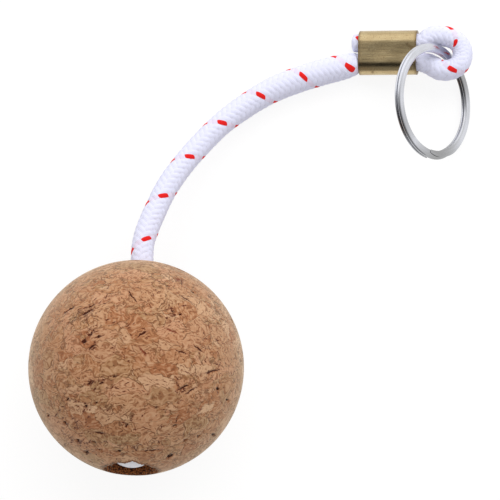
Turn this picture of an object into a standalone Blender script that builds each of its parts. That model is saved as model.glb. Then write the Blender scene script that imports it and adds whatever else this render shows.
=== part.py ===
"""Cork ball keychain: a bored cork ball, one length of rope, a brass ferrule and a split ring.

Metres, +Z up. The keychain lies as it comes to rest, on the ball, on the ferrule's foot and on the
ring's low point. The origin is on the floor, under the middle of the ball, ferrule and ring together.
"""

import math

import bmesh
import bpy
from mathutils import Matrix, Vector

# Fits between pieces that touch
TOUCH_GAP = 0.0003

# Rope
ROPE_DIAMETER = 0.0054
PRESSED_ROPE_DIAMETER = 0.0043
STOP_DIAMETER = 0.0088
STUB_LENGTH = 0.0019
STUB_DIAMETER = 0.0040
ROUTE_STEP = 0.0030
LOOP_STEP = 0.0012

# Cork ball
BALL_DIAMETER = 0.050
BALL_PLACE = (-0.0264, -0.0273)
BORE_DIAMETER = ROPE_DIAMETER + 2 * TOUCH_GAP
BORE_RISE = math.radians(18.3)
BORE_HEADING = math.radians(2.0)
RECESS_DIAMETER = 0.012
RECESS_DEPTH = 0.0088
RECESS_TAPER = 0.0005
BALL_SIDES = 48
BALL_BELTS = 24

# Chips in the recess rim: angle round the bore from the top, half width, how far the rim is broken back
RIM_CHIPS = (
    (math.radians(-24), math.radians(17), 0.0008),
    (math.radians(6), math.radians(20), 0.0013),
    (math.radians(34), math.radians(12), 0.0006),
)

# Ferrule
FERRULE_LENGTH = 0.0142
FERRULE_WALL = 0.00055
FERRULE_EDGE = 0.00015
STRAND_GAP = 0.0005
FERRULE_FOOT_PLACE = (0.02685, 0.0481)
FERRULE_RISE = math.radians(13.2)
FERRULE_HEADING = math.radians(-0.8)
FERRULE_ARC_STEPS = 14

# Split ring
RING_DIAMETER = 0.028
WIRE_WIDTH = 0.0021
WIRE_THICKNESS = 0.0007
WIRE_EDGE = 0.00018
COIL_GAP = 0.0001
RING_TILT = math.radians(46.65)
RING_HEADING = math.radians(3.2)
RING_THREAD_POINT = (0.04655, 0.0479, 0.00717)
CROSSING_START = math.radians(262)
CROSSING_END = math.radians(296)
RING_STEP = math.radians(6)

# The rope's free stretch, from the ball to the ferrule: x, y, z and rope diameter
FREE_ROUTE = (
    (-0.0244, 0.0050, 0.0142, 0.0055),
    (-0.0225, 0.0097, 0.0125, 0.0055),
    (-0.0199, 0.0151, 0.0106, 0.0055),
    (-0.0162, 0.0205, 0.0086, 0.0055),
    (-0.0117, 0.0258, 0.0068, 0.0055),
    (-0.0066, 0.0309, 0.0053, 0.0056),
    (-0.0009, 0.0352, 0.0041, 0.0059),
    (0.0052, 0.0389, 0.0035, 0.0062),
    (0.0116, 0.0415, 0.0033, 0.0064),
    (0.0177, 0.0434, 0.0033, 0.0064),
    (0.0228, 0.0447, 0.0033, 0.0063),
    (0.0246, 0.0452, 0.0031, 0.0058),
)

# The rope's loop beyond the ferrule, from the strand that comes in to the one that goes back
LOOP_ROUTE = (
    (0.0436, 0.0450, 0.0063, 0.0050),
    (0.0460, 0.0436, 0.0072, 0.0051),
    (0.0486, 0.0436, 0.0080, 0.0050),
    (0.0506, 0.0449, 0.0082, 0.0049),
    (0.0514, 0.0471, 0.0077, 0.0048),
    (0.0510, 0.0493, 0.0073, 0.0048),
    (0.0494, 0.0510, 0.0070, 0.0049),
    (0.0470, 0.0518, 0.0067, 0.0050),
    (0.0444, 0.0518, 0.0064, 0.0050),
    (0.0423, 0.0506, 0.0063, 0.0048),
)


def clear_scene():
    """Remove every object that the scene opens with."""
    for obj in list(bpy.data.objects):
        bpy.data.objects.remove(obj, do_unlink=True)


def make_material(name, colour, roughness, metallic=0.0):
    """One Principled material."""
    material = bpy.data.materials.new(name)
    material.use_nodes = True
    shader = material.node_tree.nodes["Principled BSDF"]
    shader.inputs["Base Color"].default_value = (*colour, 1.0)
    shader.inputs["Roughness"].default_value = roughness
    shader.inputs["Metallic"].default_value = metallic
    return material


def add_object(name, data, material, parent, matrix=None):
    """Link an object that holds the data, place it under its parent and give it a material."""
    obj = bpy.data.objects.new(name, data)
    bpy.context.scene.collection.objects.link(obj)
    obj.parent = parent
    if matrix is not None:
        obj.matrix_local = matrix
    data.materials.append(material)
    return obj


def mesh_from(bm, name):
    """Turn a bmesh into a smooth-shaded mesh with sharp edges kept."""
    bmesh.ops.recalc_face_normals(bm, faces=bm.faces)
    mesh = bpy.data.meshes.new(name)
    bm.to_mesh(mesh)
    bm.free()
    mesh.shade_smooth()
    mesh.set_sharp_from_angle(angle=math.radians(35))
    return mesh


def bridge(bm, ring_a, ring_b):
    """Join two rings of as many vertices with quads."""
    for index in range(len(ring_a)):
        following = (index + 1) % len(ring_a)
        bm.faces.new((ring_a[index], ring_a[following], ring_b[following], ring_b[index]))


def axis_frame(direction, place):
    """A frame at a place with its Z along the direction and its Y as near up as it can be."""
    up = Vector((0, 0, 1))
    y_axis = (up - direction * up.dot(direction)).normalized()
    x_axis = y_axis.cross(direction)
    rotation = Matrix((x_axis, y_axis, direction)).transposed()
    return Matrix.Translation(place) @ rotation.to_4x4()


def bore_direction():
    """Along the bore, out of the end that the rope leaves by."""
    level = math.cos(BORE_RISE)
    return Vector(
        (
            level * math.sin(BORE_HEADING),
            level * math.cos(BORE_HEADING),
            -math.sin(BORE_RISE),
        )
    )


def ball_centre():
    """The ball rests on the floor."""
    return Vector((*BALL_PLACE, BALL_DIAMETER / 2))


def mouth_distance(hole_diameter):
    """How far from the ball's centre a hole of this diameter meets the surface."""
    return math.sqrt((BALL_DIAMETER / 2) ** 2 - (hole_diameter / 2) ** 2)


def recess_floor_distance():
    """How far from the ball's centre the recess ends."""
    return mouth_distance(RECESS_DIAMETER) - RECESS_DEPTH


def chip_depth(angle):
    """How far the recess rim is broken back at this angle round the bore."""
    depth = 0.0
    for middle, half_width, most in RIM_CHIPS:
        reach = abs(angle - middle) / half_width
        depth = max(depth, most * (1 - reach))
    return depth


def ball_profile(chip):
    """Radius and height of each belt of the ball, from the bore's upper end round to its lower one."""
    radius = BALL_DIAMETER / 2
    bore = BORE_DIAMETER / 2
    rim = RECESS_DIAMETER / 2 + chip
    first = math.asin(bore / radius)
    last = math.pi - math.asin((RECESS_DIAMETER / 2 + max(c[2] for c in RIM_CHIPS)) / radius)
    belts = []
    for step in range(BALL_BELTS):
        angle = first + (last - first) * step / BALL_BELTS
        belts.append((radius * math.sin(angle), radius * math.cos(angle)))
    belts.append((rim, -math.sqrt(radius**2 - rim**2)))
    wall = RECESS_DIAMETER / 2 - RECESS_TAPER / 4
    belts.append((wall, -mouth_distance(RECESS_DIAMETER) + chip + TOUCH_GAP))
    belts.append((RECESS_DIAMETER / 2 - RECESS_TAPER, -recess_floor_distance()))
    belts.append((bore, -recess_floor_distance()))
    return belts


def build_cork_ball(parent):
    """The ball with its bore, and its recess with a chipped rim."""
    bm = bmesh.new()
    columns = []
    for side in range(BALL_SIDES):
        turn = 2 * math.pi * side / BALL_SIDES
        # Zero is the top of the recess, because the frame's Y is as near up as it can be
        from_top = math.remainder(turn - math.pi / 2, 2 * math.pi)
        belts = ball_profile(chip_depth(from_top))
        columns.append(
            [bm.verts.new((r * math.cos(turn), r * math.sin(turn), z)) for r, z in belts]
        )
    for side, column in enumerate(columns):
        bridge(bm, column, columns[(side + 1) % BALL_SIDES])
    cork = make_material("cork", (0.62, 0.44, 0.28), 0.85)
    matrix = axis_frame(bore_direction(), ball_centre())
    return add_object("cork_ball", mesh_from(bm, "cork_ball"), cork, parent, matrix)


def pressed_radius():
    """The rope's radius where the ferrule squeezes it."""
    return PRESSED_ROPE_DIAMETER / 2


def strand_offset():
    """From the ferrule's axis to the middle of each strand."""
    return pressed_radius() + STRAND_GAP / 2


def ferrule_inner_radius():
    """The inner radius of the ferrule's two round sides."""
    return pressed_radius() + TOUCH_GAP


def ferrule_outer_radius():
    """Half the ferrule's height."""
    return ferrule_inner_radius() + FERRULE_WALL


def ferrule_axis():
    """Along the ferrule, from its foot to the loop."""
    level = math.cos(FERRULE_RISE)
    return Vector(
        (
            level * math.cos(FERRULE_HEADING),
            level * math.sin(FERRULE_HEADING),
            math.sin(FERRULE_RISE),
        )
    )


def ferrule_matrix():
    """The ferrule's frame at its foot, on the floor: Z along it, X towards the returning strand, Y up."""
    height = ferrule_outer_radius() * math.cos(FERRULE_RISE) - FERRULE_EDGE * math.sin(FERRULE_RISE)
    return axis_frame(ferrule_axis(), Vector((*FERRULE_FOOT_PLACE, height)))


def stadium(half_spacing, radius, height):
    """Points of an outline with two round ends and two flats, at one height."""
    points = []
    for side in (1, -1):
        for step in range(FERRULE_ARC_STEPS + 1):
            angle = math.pi * step / FERRULE_ARC_STEPS - side * math.pi / 2
            x = side * half_spacing + radius * math.cos(angle)
            points.append((x, radius * math.sin(angle), height))
    return points


def build_ferrule(parent):
    """A short sleeve of stadium section with eased ends."""
    outer = ferrule_outer_radius()
    inner = ferrule_inner_radius()
    stations = (
        (outer - FERRULE_EDGE, 0),
        (outer, FERRULE_EDGE),
        (outer, FERRULE_LENGTH - FERRULE_EDGE),
        (outer - FERRULE_EDGE, FERRULE_LENGTH),
        (inner, FERRULE_LENGTH),
        (inner, 0),
    )
    bm = bmesh.new()
    rings = []
    for radius, height in stations:
        outline = stadium(strand_offset(), radius, height)
        rings.append([bm.verts.new(point) for point in outline])
    for index, ring in enumerate(rings):
        bridge(bm, ring, rings[(index + 1) % len(rings)])
    brass = make_material("brass", (0.60, 0.45, 0.18), 0.35, metallic=1.0)
    return add_object("ferrule", mesh_from(bm, "ferrule"), brass, parent, ferrule_matrix())


def ring_thickness():
    """Both coils together."""
    return 2 * WIRE_THICKNESS + COIL_GAP


def ring_mid_radius():
    """From the ring's axis to the middle of its wire."""
    return RING_DIAMETER / 2 - WIRE_WIDTH / 2


def ring_matrix():
    """The ring's frame: Z its axis, X downhill. It stands on its low point and runs through the loop."""
    axis = Vector(
        (
            math.sin(RING_TILT) * math.cos(RING_HEADING),
            math.sin(RING_TILT) * math.sin(RING_HEADING),
            math.cos(RING_TILT),
        )
    )
    downhill = Vector(
        (
            math.cos(RING_TILT) * math.cos(RING_HEADING),
            math.cos(RING_TILT) * math.sin(RING_HEADING),
            -math.sin(RING_TILT),
        )
    )
    across = axis.cross(downhill)
    low_corner = ring_thickness() / 2 - WIRE_EDGE
    height = RING_DIAMETER / 2 * math.sin(RING_TILT) + low_corner * math.cos(RING_TILT)
    thread = Vector(RING_THREAD_POINT)
    along = (height - thread.z) / math.sin(RING_TILT)
    sideways = math.sqrt(ring_mid_radius() ** 2 - along**2)
    centre = thread - along * downhill - sideways * across
    return Matrix.Translation(centre) @ Matrix((downhill, across, axis)).transposed().to_4x4()


def wire_section():
    """The flat wire's outline as radial and axial offsets, with eased corners."""
    half_width = WIRE_WIDTH / 2
    half_height = WIRE_THICKNESS / 2
    points = []
    for radial, axial in ((1, -1), (1, 1), (-1, 1), (-1, -1)):
        near = (radial * half_width, axial * (half_height - WIRE_EDGE))
        far = (radial * (half_width - WIRE_EDGE), axial * half_height)
        points.extend((near, far) if radial == axial else (far, near))
    return points


def coil_offset(turn):
    """How high the wire lies after this much of its winding: the upper coil comes first."""
    upper = (WIRE_THICKNESS + COIL_GAP) / 2
    crossing = CROSSING_END - CROSSING_START
    progress = (turn - (2 * math.pi - crossing)) / crossing
    progress = min(max(progress, 0.0), 1.0)
    eased = progress * progress * (3 - 2 * progress)
    return upper * (1 - 2 * eased)


def build_split_ring(parent):
    """Flat wire wound twice round, in two coils that lie on each other."""
    winding = 4 * math.pi - (CROSSING_END - CROSSING_START)
    steps = round(winding / RING_STEP)
    bm = bmesh.new()
    rings = []
    for step in range(steps + 1):
        turn = winding * step / steps
        angle = CROSSING_END + turn
        ring = []
        for radial, axial in wire_section():
            radius = ring_mid_radius() + radial
            height = coil_offset(turn) + axial
            ring.append(bm.verts.new((radius * math.cos(angle), radius * math.sin(angle), height)))
        rings.append(ring)
    for index in range(steps):
        bridge(bm, rings[index], rings[index + 1])
    bm.faces.new(rings[0])
    bm.faces.new(reversed(rings[-1]))
    steel = make_material("steel", (0.66, 0.66, 0.68), 0.2, metallic=1.0)
    return add_object("split_ring", mesh_from(bm, "split_ring"), steel, parent, ring_matrix())


def stop_route():
    """The rope's swollen, sealed end in the recess, as distances from the floor of the recess."""
    swell = STOP_DIAMETER
    length = RECESS_DEPTH - 3 * TOUCH_GAP
    shape = (
        (1.00, 0.36),
        (0.93, 0.68),
        (0.80, 0.90),
        (0.60, 1.00),
        (0.38, 0.98),
        (0.18, 0.84),
    )
    stop = [(length * share, swell * width) for share, width in shape]
    return stop + [(TOUCH_GAP, ROPE_DIAMETER)]


def bored_route():
    """Rope points from its stop, up the bore and just out of the ball."""
    centre = ball_centre()
    direction = bore_direction()
    floor = recess_floor_distance()
    points = []
    for beyond, diameter in stop_route():
        points.append((*(centre - direction * (floor + beyond)), diameter))
    for share in (0.66, 0.0, -0.66, -1.2):
        points.append((*(centre - direction * (floor * share)), ROPE_DIAMETER))
    for beyond in (0.0, 0.0050):
        place = centre + direction * (BALL_DIAMETER / 2 + beyond)
        points.append((*place, ROPE_DIAMETER))
    return points


def strand_points(side, stations):
    """Rope points on one strand through the ferrule, given as distances from the foot end and diameters."""
    frame = ferrule_matrix()
    points = []
    for distance, diameter in stations:
        place = frame @ Vector((side * strand_offset(), 0, distance))
        points.append((*place, diameter))
    return points


def rope_route():
    """The whole route: stop, bore, free stretch, ferrule, loop, ferrule again and stub."""
    pressed = PRESSED_ROPE_DIAMETER
    incoming = strand_points(
        -1,
        (
            (-0.0009, 0.0050),
            (0.0002, pressed),
            (FERRULE_LENGTH / 2, pressed),
            (FERRULE_LENGTH - 0.0002, pressed),
            (FERRULE_LENGTH + 0.0010, 0.0047),
        ),
    )
    returning = strand_points(
        1,
        (
            (FERRULE_LENGTH - 0.0002, pressed),
            (FERRULE_LENGTH / 2, pressed),
            (0.0002, pressed),
            (-STUB_LENGTH / 2, STUB_DIAMETER),
            (-STUB_LENGTH * 0.85, STUB_DIAMETER * 0.9),
            (-STUB_LENGTH, STUB_DIAMETER * 0.55),
        ),
    )
    return [
        (bored_route(), ROUTE_STEP),
        (list(FREE_ROUTE), ROUTE_STEP),
        (incoming, ROUTE_STEP),
        (list(LOOP_ROUTE), LOOP_STEP),
        (returning, ROUTE_STEP),
    ]


def blend(p0, p1, p2, p3, share):
    """A point of the smooth curve that runs through four points, between the middle two."""
    result = []
    for a, b, c, d in zip(p0, p1, p2, p3):
        value = 2 * b + (c - a) * share
        value += (2 * a - 5 * b + 4 * c - d) * share**2
        value += (3 * b - a - 3 * c + d) * share**3
        result.append(value / 2)
    return result


def smooth_points(stretches):
    """Points read from one smooth curve through all the route's points, closer together in the loop."""
    points = [point for stretch, _ in stretches for point in stretch]
    steps = [step for stretch, step in stretches for _ in stretch]
    result = []
    for index in range(len(points) - 1):
        p0 = points[max(index - 1, 0)]
        p1 = points[index]
        p2 = points[index + 1]
        p3 = points[min(index + 2, len(points) - 1)]
        span = (Vector(p2[:3]) - Vector(p1[:3])).length
        count = max(1, round(span / min(steps[index], steps[index + 1])))
        result.extend(blend(p0, p1, p2, p3, step / count) for step in range(count))
    result.append(list(points[-1]))
    return result


def build_rope(parent):
    """One round tube along the whole route, as thick at each place as the rope is there."""
    curve = bpy.data.curves.new("rope", "CURVE")
    curve.dimensions = "3D"
    curve.bevel_depth = ROPE_DIAMETER / 2
    curve.bevel_resolution = 4
    curve.use_fill_caps = True
    curve.twist_mode = "MINIMUM"
    points = smooth_points(rope_route())
    spline = curve.splines.new("POLY")
    spline.points.add(len(points) - 1)
    for knot, (x, y, z, diameter) in zip(spline.points, points):
        knot.co = (x, y, z, 1.0)
        knot.radius = diameter / ROPE_DIAMETER
    white = make_material("rope", (0.84, 0.84, 0.88), 0.7)
    return add_object("rope", curve, white, parent)


def stand_on_origin(root, solids):
    """Move the keychain so that the origin is on the floor under the middle of these solids."""
    bpy.context.view_layer.update()
    corners = [obj.matrix_world @ vertex.co for obj in solids for vertex in obj.data.vertices]
    low = Vector(min(corner[axis] for corner in corners) for axis in range(3))
    high = Vector(max(corner[axis] for corner in corners) for axis in range(3))
    root.location = (-(low.x + high.x) / 2, -(low.y + high.y) / 2, 0.0)


def main():
    """Build the whole keychain."""
    clear_scene()
    bpy.context.scene.unit_settings.system = "METRIC"
    root = bpy.data.objects.new("keychain", None)
    bpy.context.scene.collection.objects.link(root)
    ball = build_cork_ball(root)
    ferrule = build_ferrule(root)
    ring = build_split_ring(root)
    build_rope(root)
    stand_on_origin(root, (ball, ferrule, ring))


main()
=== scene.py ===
"""Cork ball keychain, dressed: pressed cork, braided rope, brass ferrule and steel split ring.

Metres, in the frame of the CAD solids. The keychain lies on a white floor and the camera looks
straight down on it. Places written in the layout's own coordinates are moved by ROW_SHIFT.
"""

import logging
import math
from dataclasses import dataclass, field
from enum import Enum

import bpy
import numpy as np
from mathutils import Matrix, Vector


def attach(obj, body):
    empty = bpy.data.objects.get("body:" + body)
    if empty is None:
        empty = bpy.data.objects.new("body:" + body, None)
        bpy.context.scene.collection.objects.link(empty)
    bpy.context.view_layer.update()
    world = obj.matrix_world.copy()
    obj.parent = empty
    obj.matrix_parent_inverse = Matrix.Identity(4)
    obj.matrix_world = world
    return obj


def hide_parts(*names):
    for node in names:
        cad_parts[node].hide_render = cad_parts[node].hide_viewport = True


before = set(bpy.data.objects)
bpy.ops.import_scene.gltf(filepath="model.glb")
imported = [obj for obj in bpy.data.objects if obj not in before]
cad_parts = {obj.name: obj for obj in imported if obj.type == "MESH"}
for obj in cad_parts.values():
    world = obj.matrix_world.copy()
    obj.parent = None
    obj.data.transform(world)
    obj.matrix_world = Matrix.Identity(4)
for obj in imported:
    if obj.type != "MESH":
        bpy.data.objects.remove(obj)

log = logging.getLogger("cork_ball_keychain")

# From the layout's origin to the middle of ball, ferrule and ring
ROW_SHIFT = Vector((-0.00133348, -0.00063776, 0.0))

# Fits between pieces that touch
TOUCH_GAP = 0.0003

# Materials and lists of marks are in millimetres
MM_PER_M = 1000.0

# The braid's strands that run each way, and where along its wave each way's strand is on top
CARRIERS = 8.0
STRAND_TOPS = (1.0, 3.0)

# The UV map of the pieces that have one
LAY = "Lay"

# The mean of a random colour
MID_GREY = (0.5, 0.5, 0.5)

Socket = bpy.types.NodeSocket
Colour = tuple[float, float, float]
Limits = tuple[float, float]
Rows = list[tuple[np.ndarray, np.ndarray]]


class Body(Enum):
    """The moving bodies that the pieces ride on."""

    BALL_AND_ROPE = "ball_and_rope"
    RING = "ring"


class Slot(Enum):
    """The record's material slots."""

    CORK = "cork"
    ROPE = "rope"
    BRASS = "brass"
    STEEL = "steel"


class Bench:
    """Adds nodes to one node tree and wires them as it goes."""

    nodes_in_row = 12
    column_step = 200
    row_step = -260
    end_place = (2600, 0)

    def __init__(self, tree: bpy.types.NodeTree) -> None:
        """Keep the tree and start at its left."""
        self.tree = tree
        self.count = 0

    def add(self, kind: str, inputs: dict | None = None, **settings: object) -> bpy.types.Node:
        """Add one node.

        Args:
            kind: the node's type name, without the leading ShaderNode.
            inputs: socket name or number to a value, or to the output socket that feeds it.
            settings: properties of the node.

        Returns:
            The node.
        """
        node = self.tree.nodes.new("ShaderNode" + kind)
        row, column = divmod(self.count, self.nodes_in_row)
        node.location = (self.column_step * column, self.row_step * row)
        self.count += 1
        for key, value in settings.items():
            setattr(node, key, value)
        self.fill(node, inputs or {})
        return node

    def fill(self, node: bpy.types.Node, inputs: dict) -> None:
        """Feed several of a node's inputs."""
        for key, value in inputs.items():
            self.feed(node.inputs[key], value)

    def feed(self, socket: Socket, value: object) -> None:
        """Link an output to this socket, or set its value.

        Args:
            socket: the input socket.
            value: an output socket, a number, a vector, or a colour without its alpha.
        """
        if isinstance(value, Socket):
            self.tree.links.new(value, socket)
        elif socket.type == "RGBA":
            socket.default_value = (*value, 1.0)
        else:
            socket.default_value = value

    def math(self, operation: str, *values: object) -> Socket:
        """One Math node's result."""
        return self.add("Math", dict(enumerate(values)), operation=operation).outputs[0]

    def plus(self, first: object, second: object) -> Socket:
        """The sum of two values."""
        return self.math("ADD", first, second)

    def minus(self, first: object, second: object) -> Socket:
        """The first value less the second."""
        return self.math("SUBTRACT", first, second)

    def times(self, first: object, second: object) -> Socket:
        """The product of two values."""
        return self.math("MULTIPLY", first, second)

    def vector(self, operation: str, *values: object) -> Socket:
        """One Vector Math node's result, where that is a vector."""
        return self.add("VectorMath", dict(enumerate(values)), operation=operation).outputs["Vector"]

    def split(self, vector: Socket) -> tuple[Socket, ...]:
        """A vector's three parts."""
        return tuple(self.add("SeparateXYZ", {0: vector}).outputs)

    def mix(self, share: object, first: object, second: object) -> Socket:
        """Two colours mixed: all of the first at share 0, all of the second at 1."""
        inputs = {0: share, 6: first, 7: second}
        return self.add("Mix", inputs, data_type="RGBA", clamp_factor=True).outputs[2]

    def between(self, share: object, first: object, second: object) -> Socket:
        """Two numbers mixed in the same way."""
        return self.add("Mix", {0: share, 2: first, 3: second}, data_type="FLOAT").outputs[0]

    def layers(self, colour: object, *layers: tuple) -> Socket:
        """A colour with others laid over it in turn.

        Args:
            colour: the lowest colour.
            layers: for each, where it lies, its share there, and its colour.

        Returns:
            The mixed colour.
        """
        for where, share, over in layers:
            colour = self.mix(self.times(where, share), colour, over)
        return colour

    def ramp(self, value: Socket, limits: Limits) -> Socket:
        """A smooth step from 0 at the first limit to 1 at the second."""
        inputs = {"Value": value, "From Min": limits[0], "From Max": limits[1]}
        return self.add("MapRange", inputs, interpolation_type="SMOOTHSTEP").outputs["Result"]

    def noise(self, place: Socket, scale: object, detail: float, output: str = "Fac") -> Socket:
        """A Noise Texture's value or colour."""
        return self.add("TexNoise", {"Vector": place, "Scale": scale, "Detail": detail}).outputs[output]

    def place(self) -> Socket:
        """The place on the piece, in millimetres."""
        inputs = {0: self.add("TexCoord").outputs["Object"], "Scale": MM_PER_M}
        return self.add("VectorMath", inputs, operation="SCALE").outputs["Vector"]

    def lay(self) -> Socket:
        """The place in the piece's UV map."""
        return self.add("UVMap", uv_map=LAY).outputs[0]

    def attribute(self, name: str, output: str = "Fac") -> Socket:
        """A number or vector that the mesh stores for each point."""
        return self.add("Attribute", attribute_name=name).outputs[output]

    def group(self, tree: bpy.types.NodeTree, inputs: dict) -> bpy.types.NodeOutputs:
        """Place a node group and give its outputs."""
        return self.add("Group", inputs, node_tree=tree).outputs

    def bump(self, relief: Socket, strength: float, height: float) -> Socket:
        """The normal of a relief, whose height is in metres."""
        inputs = {"Strength": strength, "Distance": height, "Height": relief}
        return self.add("Bump", inputs).outputs["Normal"]


class MaterialBench(Bench):
    """The bench of one new material, with its Principled shader."""

    output_place = (2900, 0)

    def __init__(self, name: str) -> None:
        """Make the material.

        Args:
            name: the material's name.
        """
        self.material = bpy.data.materials.new(name)
        self.material.use_nodes = True
        super().__init__(self.material.node_tree)
        self.shader = self.tree.nodes["Principled BSDF"]
        self.shader.location = self.end_place
        self.tree.nodes["Material Output"].location = self.output_place

    def complete(self, inputs: dict) -> bpy.types.Material:
        """Feed the shader's inputs and hand over the material."""
        self.fill(self.shader, inputs)
        return self.material


class GroupBench(Bench):
    """The bench of one new shader node group, with its named inputs and outputs."""

    start_place = (-300, 0)

    def __init__(self, name: str, takes: dict, gives: tuple[str, ...]) -> None:
        """Make the group.

        Args:
            name: the group's name.
            takes: input name to its default number, or to None for a vector.
            gives: the names of the outputs, which are numbers.
        """
        tree = bpy.data.node_groups.new(name, "ShaderNodeTree")
        super().__init__(tree)
        for label, default in takes.items():
            kind = "NodeSocketVector" if default is None else "NodeSocketFloat"
            socket = tree.interface.new_socket(label, in_out="INPUT", socket_type=kind)
            if default is not None:
                socket.default_value = default
        for label in gives:
            tree.interface.new_socket(label, in_out="OUTPUT", socket_type="NodeSocketFloat")
        source = tree.nodes.new("NodeGroupInput")
        source.location = self.start_place
        self.inputs = {socket.name: socket for socket in source.outputs if socket.name}
        self.sink = tree.nodes.new("NodeGroupOutput")
        self.sink.location = self.end_place

    def complete(self, outputs: dict) -> bpy.types.NodeTree:
        """Feed the group's outputs and hand over the group."""
        self.fill(self.sink, outputs)
        return self.tree


def axis_frame(direction: Vector, place: Vector) -> Matrix:
    """A frame with its Z along a direction and its Y as near up as it can be.

    Args:
        direction: a unit vector.
        place: the frame's origin.

    Returns:
        The frame.
    """
    up = Vector((0, 0, 1))
    y_axis = (up - direction * up.dot(direction)).normalized()
    x_axis = y_axis.cross(direction)
    rotation = Matrix((x_axis, y_axis, direction)).transposed()
    return Matrix.Translation(place) @ rotation.to_4x4()


def direction_of(rise: float, heading: float) -> Vector:
    """A unit vector that climbs by rise, with heading turned from +X towards +Y."""
    level = math.cos(rise)
    return Vector((level * math.cos(heading), level * math.sin(heading), math.sin(rise)))


def moved(points: np.ndarray, pose: Matrix) -> np.ndarray:
    """Points of a piece's own frame, in the scene."""
    matrix = np.array(pose)
    return points @ matrix[:3, :3].T + matrix[:3, 3]


def lengths_around(points: np.ndarray) -> np.ndarray:
    """How far round its closed row each point lies.

    Args:
        points: rows of points.

    Returns:
        The lengths, with one column more than the points: the whole way round.
    """
    steps = np.linalg.norm(np.diff(points, axis=1, append=points[:, :1]), axis=-1)
    return np.concatenate([np.zeros((len(points), 1)), np.cumsum(steps, axis=1)], axis=1)


@dataclass
class GridSurface:
    """A surface of closed rows of points that becomes one mesh."""

    name: str
    points: np.ndarray
    uv: np.ndarray | None = None
    fields: dict[str, np.ndarray] = field(default_factory=dict)
    joined_ends: bool = False

    def quads(self) -> np.ndarray:
        """Quads between neighbouring rows and columns.

        Returns:
            The vertex numbers of each quad.
        """
        rows, columns = self.points.shape[:2]
        own = np.arange(rows * columns).reshape(rows, columns)
        right = np.roll(own, -1, axis=1)
        corners = np.stack([own, right, np.roll(right, -1, axis=0), np.roll(own, -1, axis=0)], axis=-1)
        return (corners if self.joined_ends else corners[:-1]).reshape(-1, 4)

    def caps(self) -> list[tuple[int, ...]]:
        """One face over each open end.

        Returns:
            The vertex numbers of each face, none where the last row joins the first.
        """
        if self.joined_ends:
            return []
        rows, columns = self.points.shape[:2]
        first = tuple(range(columns - 1, -1, -1))
        last = tuple((rows - 1) * columns + i for i in range(columns))
        return [first, last]

    def mesh(self) -> bpy.types.Mesh:
        """The smooth-shaded mesh, with its UV map and stored fields.

        Returns:
            The mesh.
        """
        mesh = bpy.data.meshes.new(self.name)
        mesh.from_pydata(self.points.reshape(-1, 3).tolist(), [], self.quads().tolist() + self.caps())
        mesh.shade_smooth()
        if self.uv is not None:
            self.lay_uv(mesh)
        for name, values in self.fields.items():
            self.store(mesh, name, values)
        return mesh

    def lay_uv(self, mesh: bpy.types.Mesh) -> None:
        """Write the UV of every quad corner. The UVs have one column more than the points.

        Args:
            mesh: the mesh, with its quads before its caps.
        """
        uv = self.uv
        corners = np.stack([uv[:-1, :-1], uv[:-1, 1:], uv[1:, 1:], uv[1:, :-1]], axis=2).reshape(-1, 2)
        values = np.zeros((len(mesh.loops), 2))
        values[: len(corners)] = corners
        mesh.uv_layers.new(name=LAY).data.foreach_set("uv", values.ravel())

    def store(self, mesh: bpy.types.Mesh, name: str, values: np.ndarray) -> None:
        """Store one number or one vector for each point.

        Args:
            mesh: the mesh.
            name: the attribute's name.
            values: rows and columns of numbers or vectors.
        """
        vector = values.ndim == 3
        layer = mesh.attributes.new(name, "FLOAT_VECTOR" if vector else "FLOAT", "POINT")
        layer.data.foreach_set("vector" if vector else "value", values.astype(np.float32).ravel())


def add_piece(
    mesh: bpy.types.Mesh, material: bpy.types.Material, body: Body, node: str
) -> bpy.types.Object:
    """Link one object that rides on its body and stands for its CAD solid.

    Args:
        mesh: the piece's mesh, whose name it takes.
        material: the piece's material.
        body: what it rides on.
        node: the CAD solid it replaces.

    Returns:
        The piece.
    """
    piece = bpy.data.objects.new(mesh.name, mesh)
    bpy.context.scene.collection.objects.link(piece)
    mesh.materials.append(material)
    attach(piece, body.value)
    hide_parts(node)
    return piece


@dataclass(frozen=True)
class Effects:
    """The node groups that several materials share."""

    mottle: bpy.types.NodeTree
    streaks: bpy.types.NodeTree


def mottle_group() -> bpy.types.NodeTree:
    """Soft blotches and small specks, with sizes and places in millimetres.

    Returns:
        The group, with outputs Blotches and Specks.
    """
    kinds = (("Blotches", "Blotch Size", (0.36, 0.64)), ("Specks", "Speck Size", (0.57, 0.67)))
    takes = {"Place": None, "Blotch Size": 3.0, "Speck Size": 0.5}
    bench = GroupBench("surface mottle", takes, ("Blotches", "Specks"))
    outputs = {}
    for output, size, limits in kinds:
        scale = bench.math("DIVIDE", 1.0, bench.inputs[size])
        outputs[output] = bench.ramp(bench.noise(bench.inputs["Place"], scale, 3.0), limits)
    return bench.complete(outputs)


def streaks_group() -> bpy.types.NodeTree:
    """Lines drawn along V of a UV map in millimetres: fine ones, and broad bands of them.

    Returns:
        The group, with outputs Fine and Broad.
    """
    # The shift keeps the bands from following the fine lines
    kinds = (("Fine", "Line Width", 0.0), ("Broad", "Band Width", 37.0))
    limits = (0.30, 0.70)
    takes = {"Lay": None, "Line Width": 0.12, "Line Length": 6.0, "Band Width": 0.7}
    bench = GroupBench("drawn streaks", takes, ("Fine", "Broad"))
    around, up, _ = bench.split(bench.inputs["Lay"])
    along = bench.math("DIVIDE", up, bench.inputs["Line Length"])
    outputs = {}
    for output, width, shift in kinds:
        across = bench.math("DIVIDE", around, bench.inputs[width])
        place = bench.add("CombineXYZ", {0: across, 1: along, 2: shift}).outputs[0]
        outputs[output] = bench.ramp(bench.noise(place, 1.0, 2.0), limits)
    return bench.complete(outputs)


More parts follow.
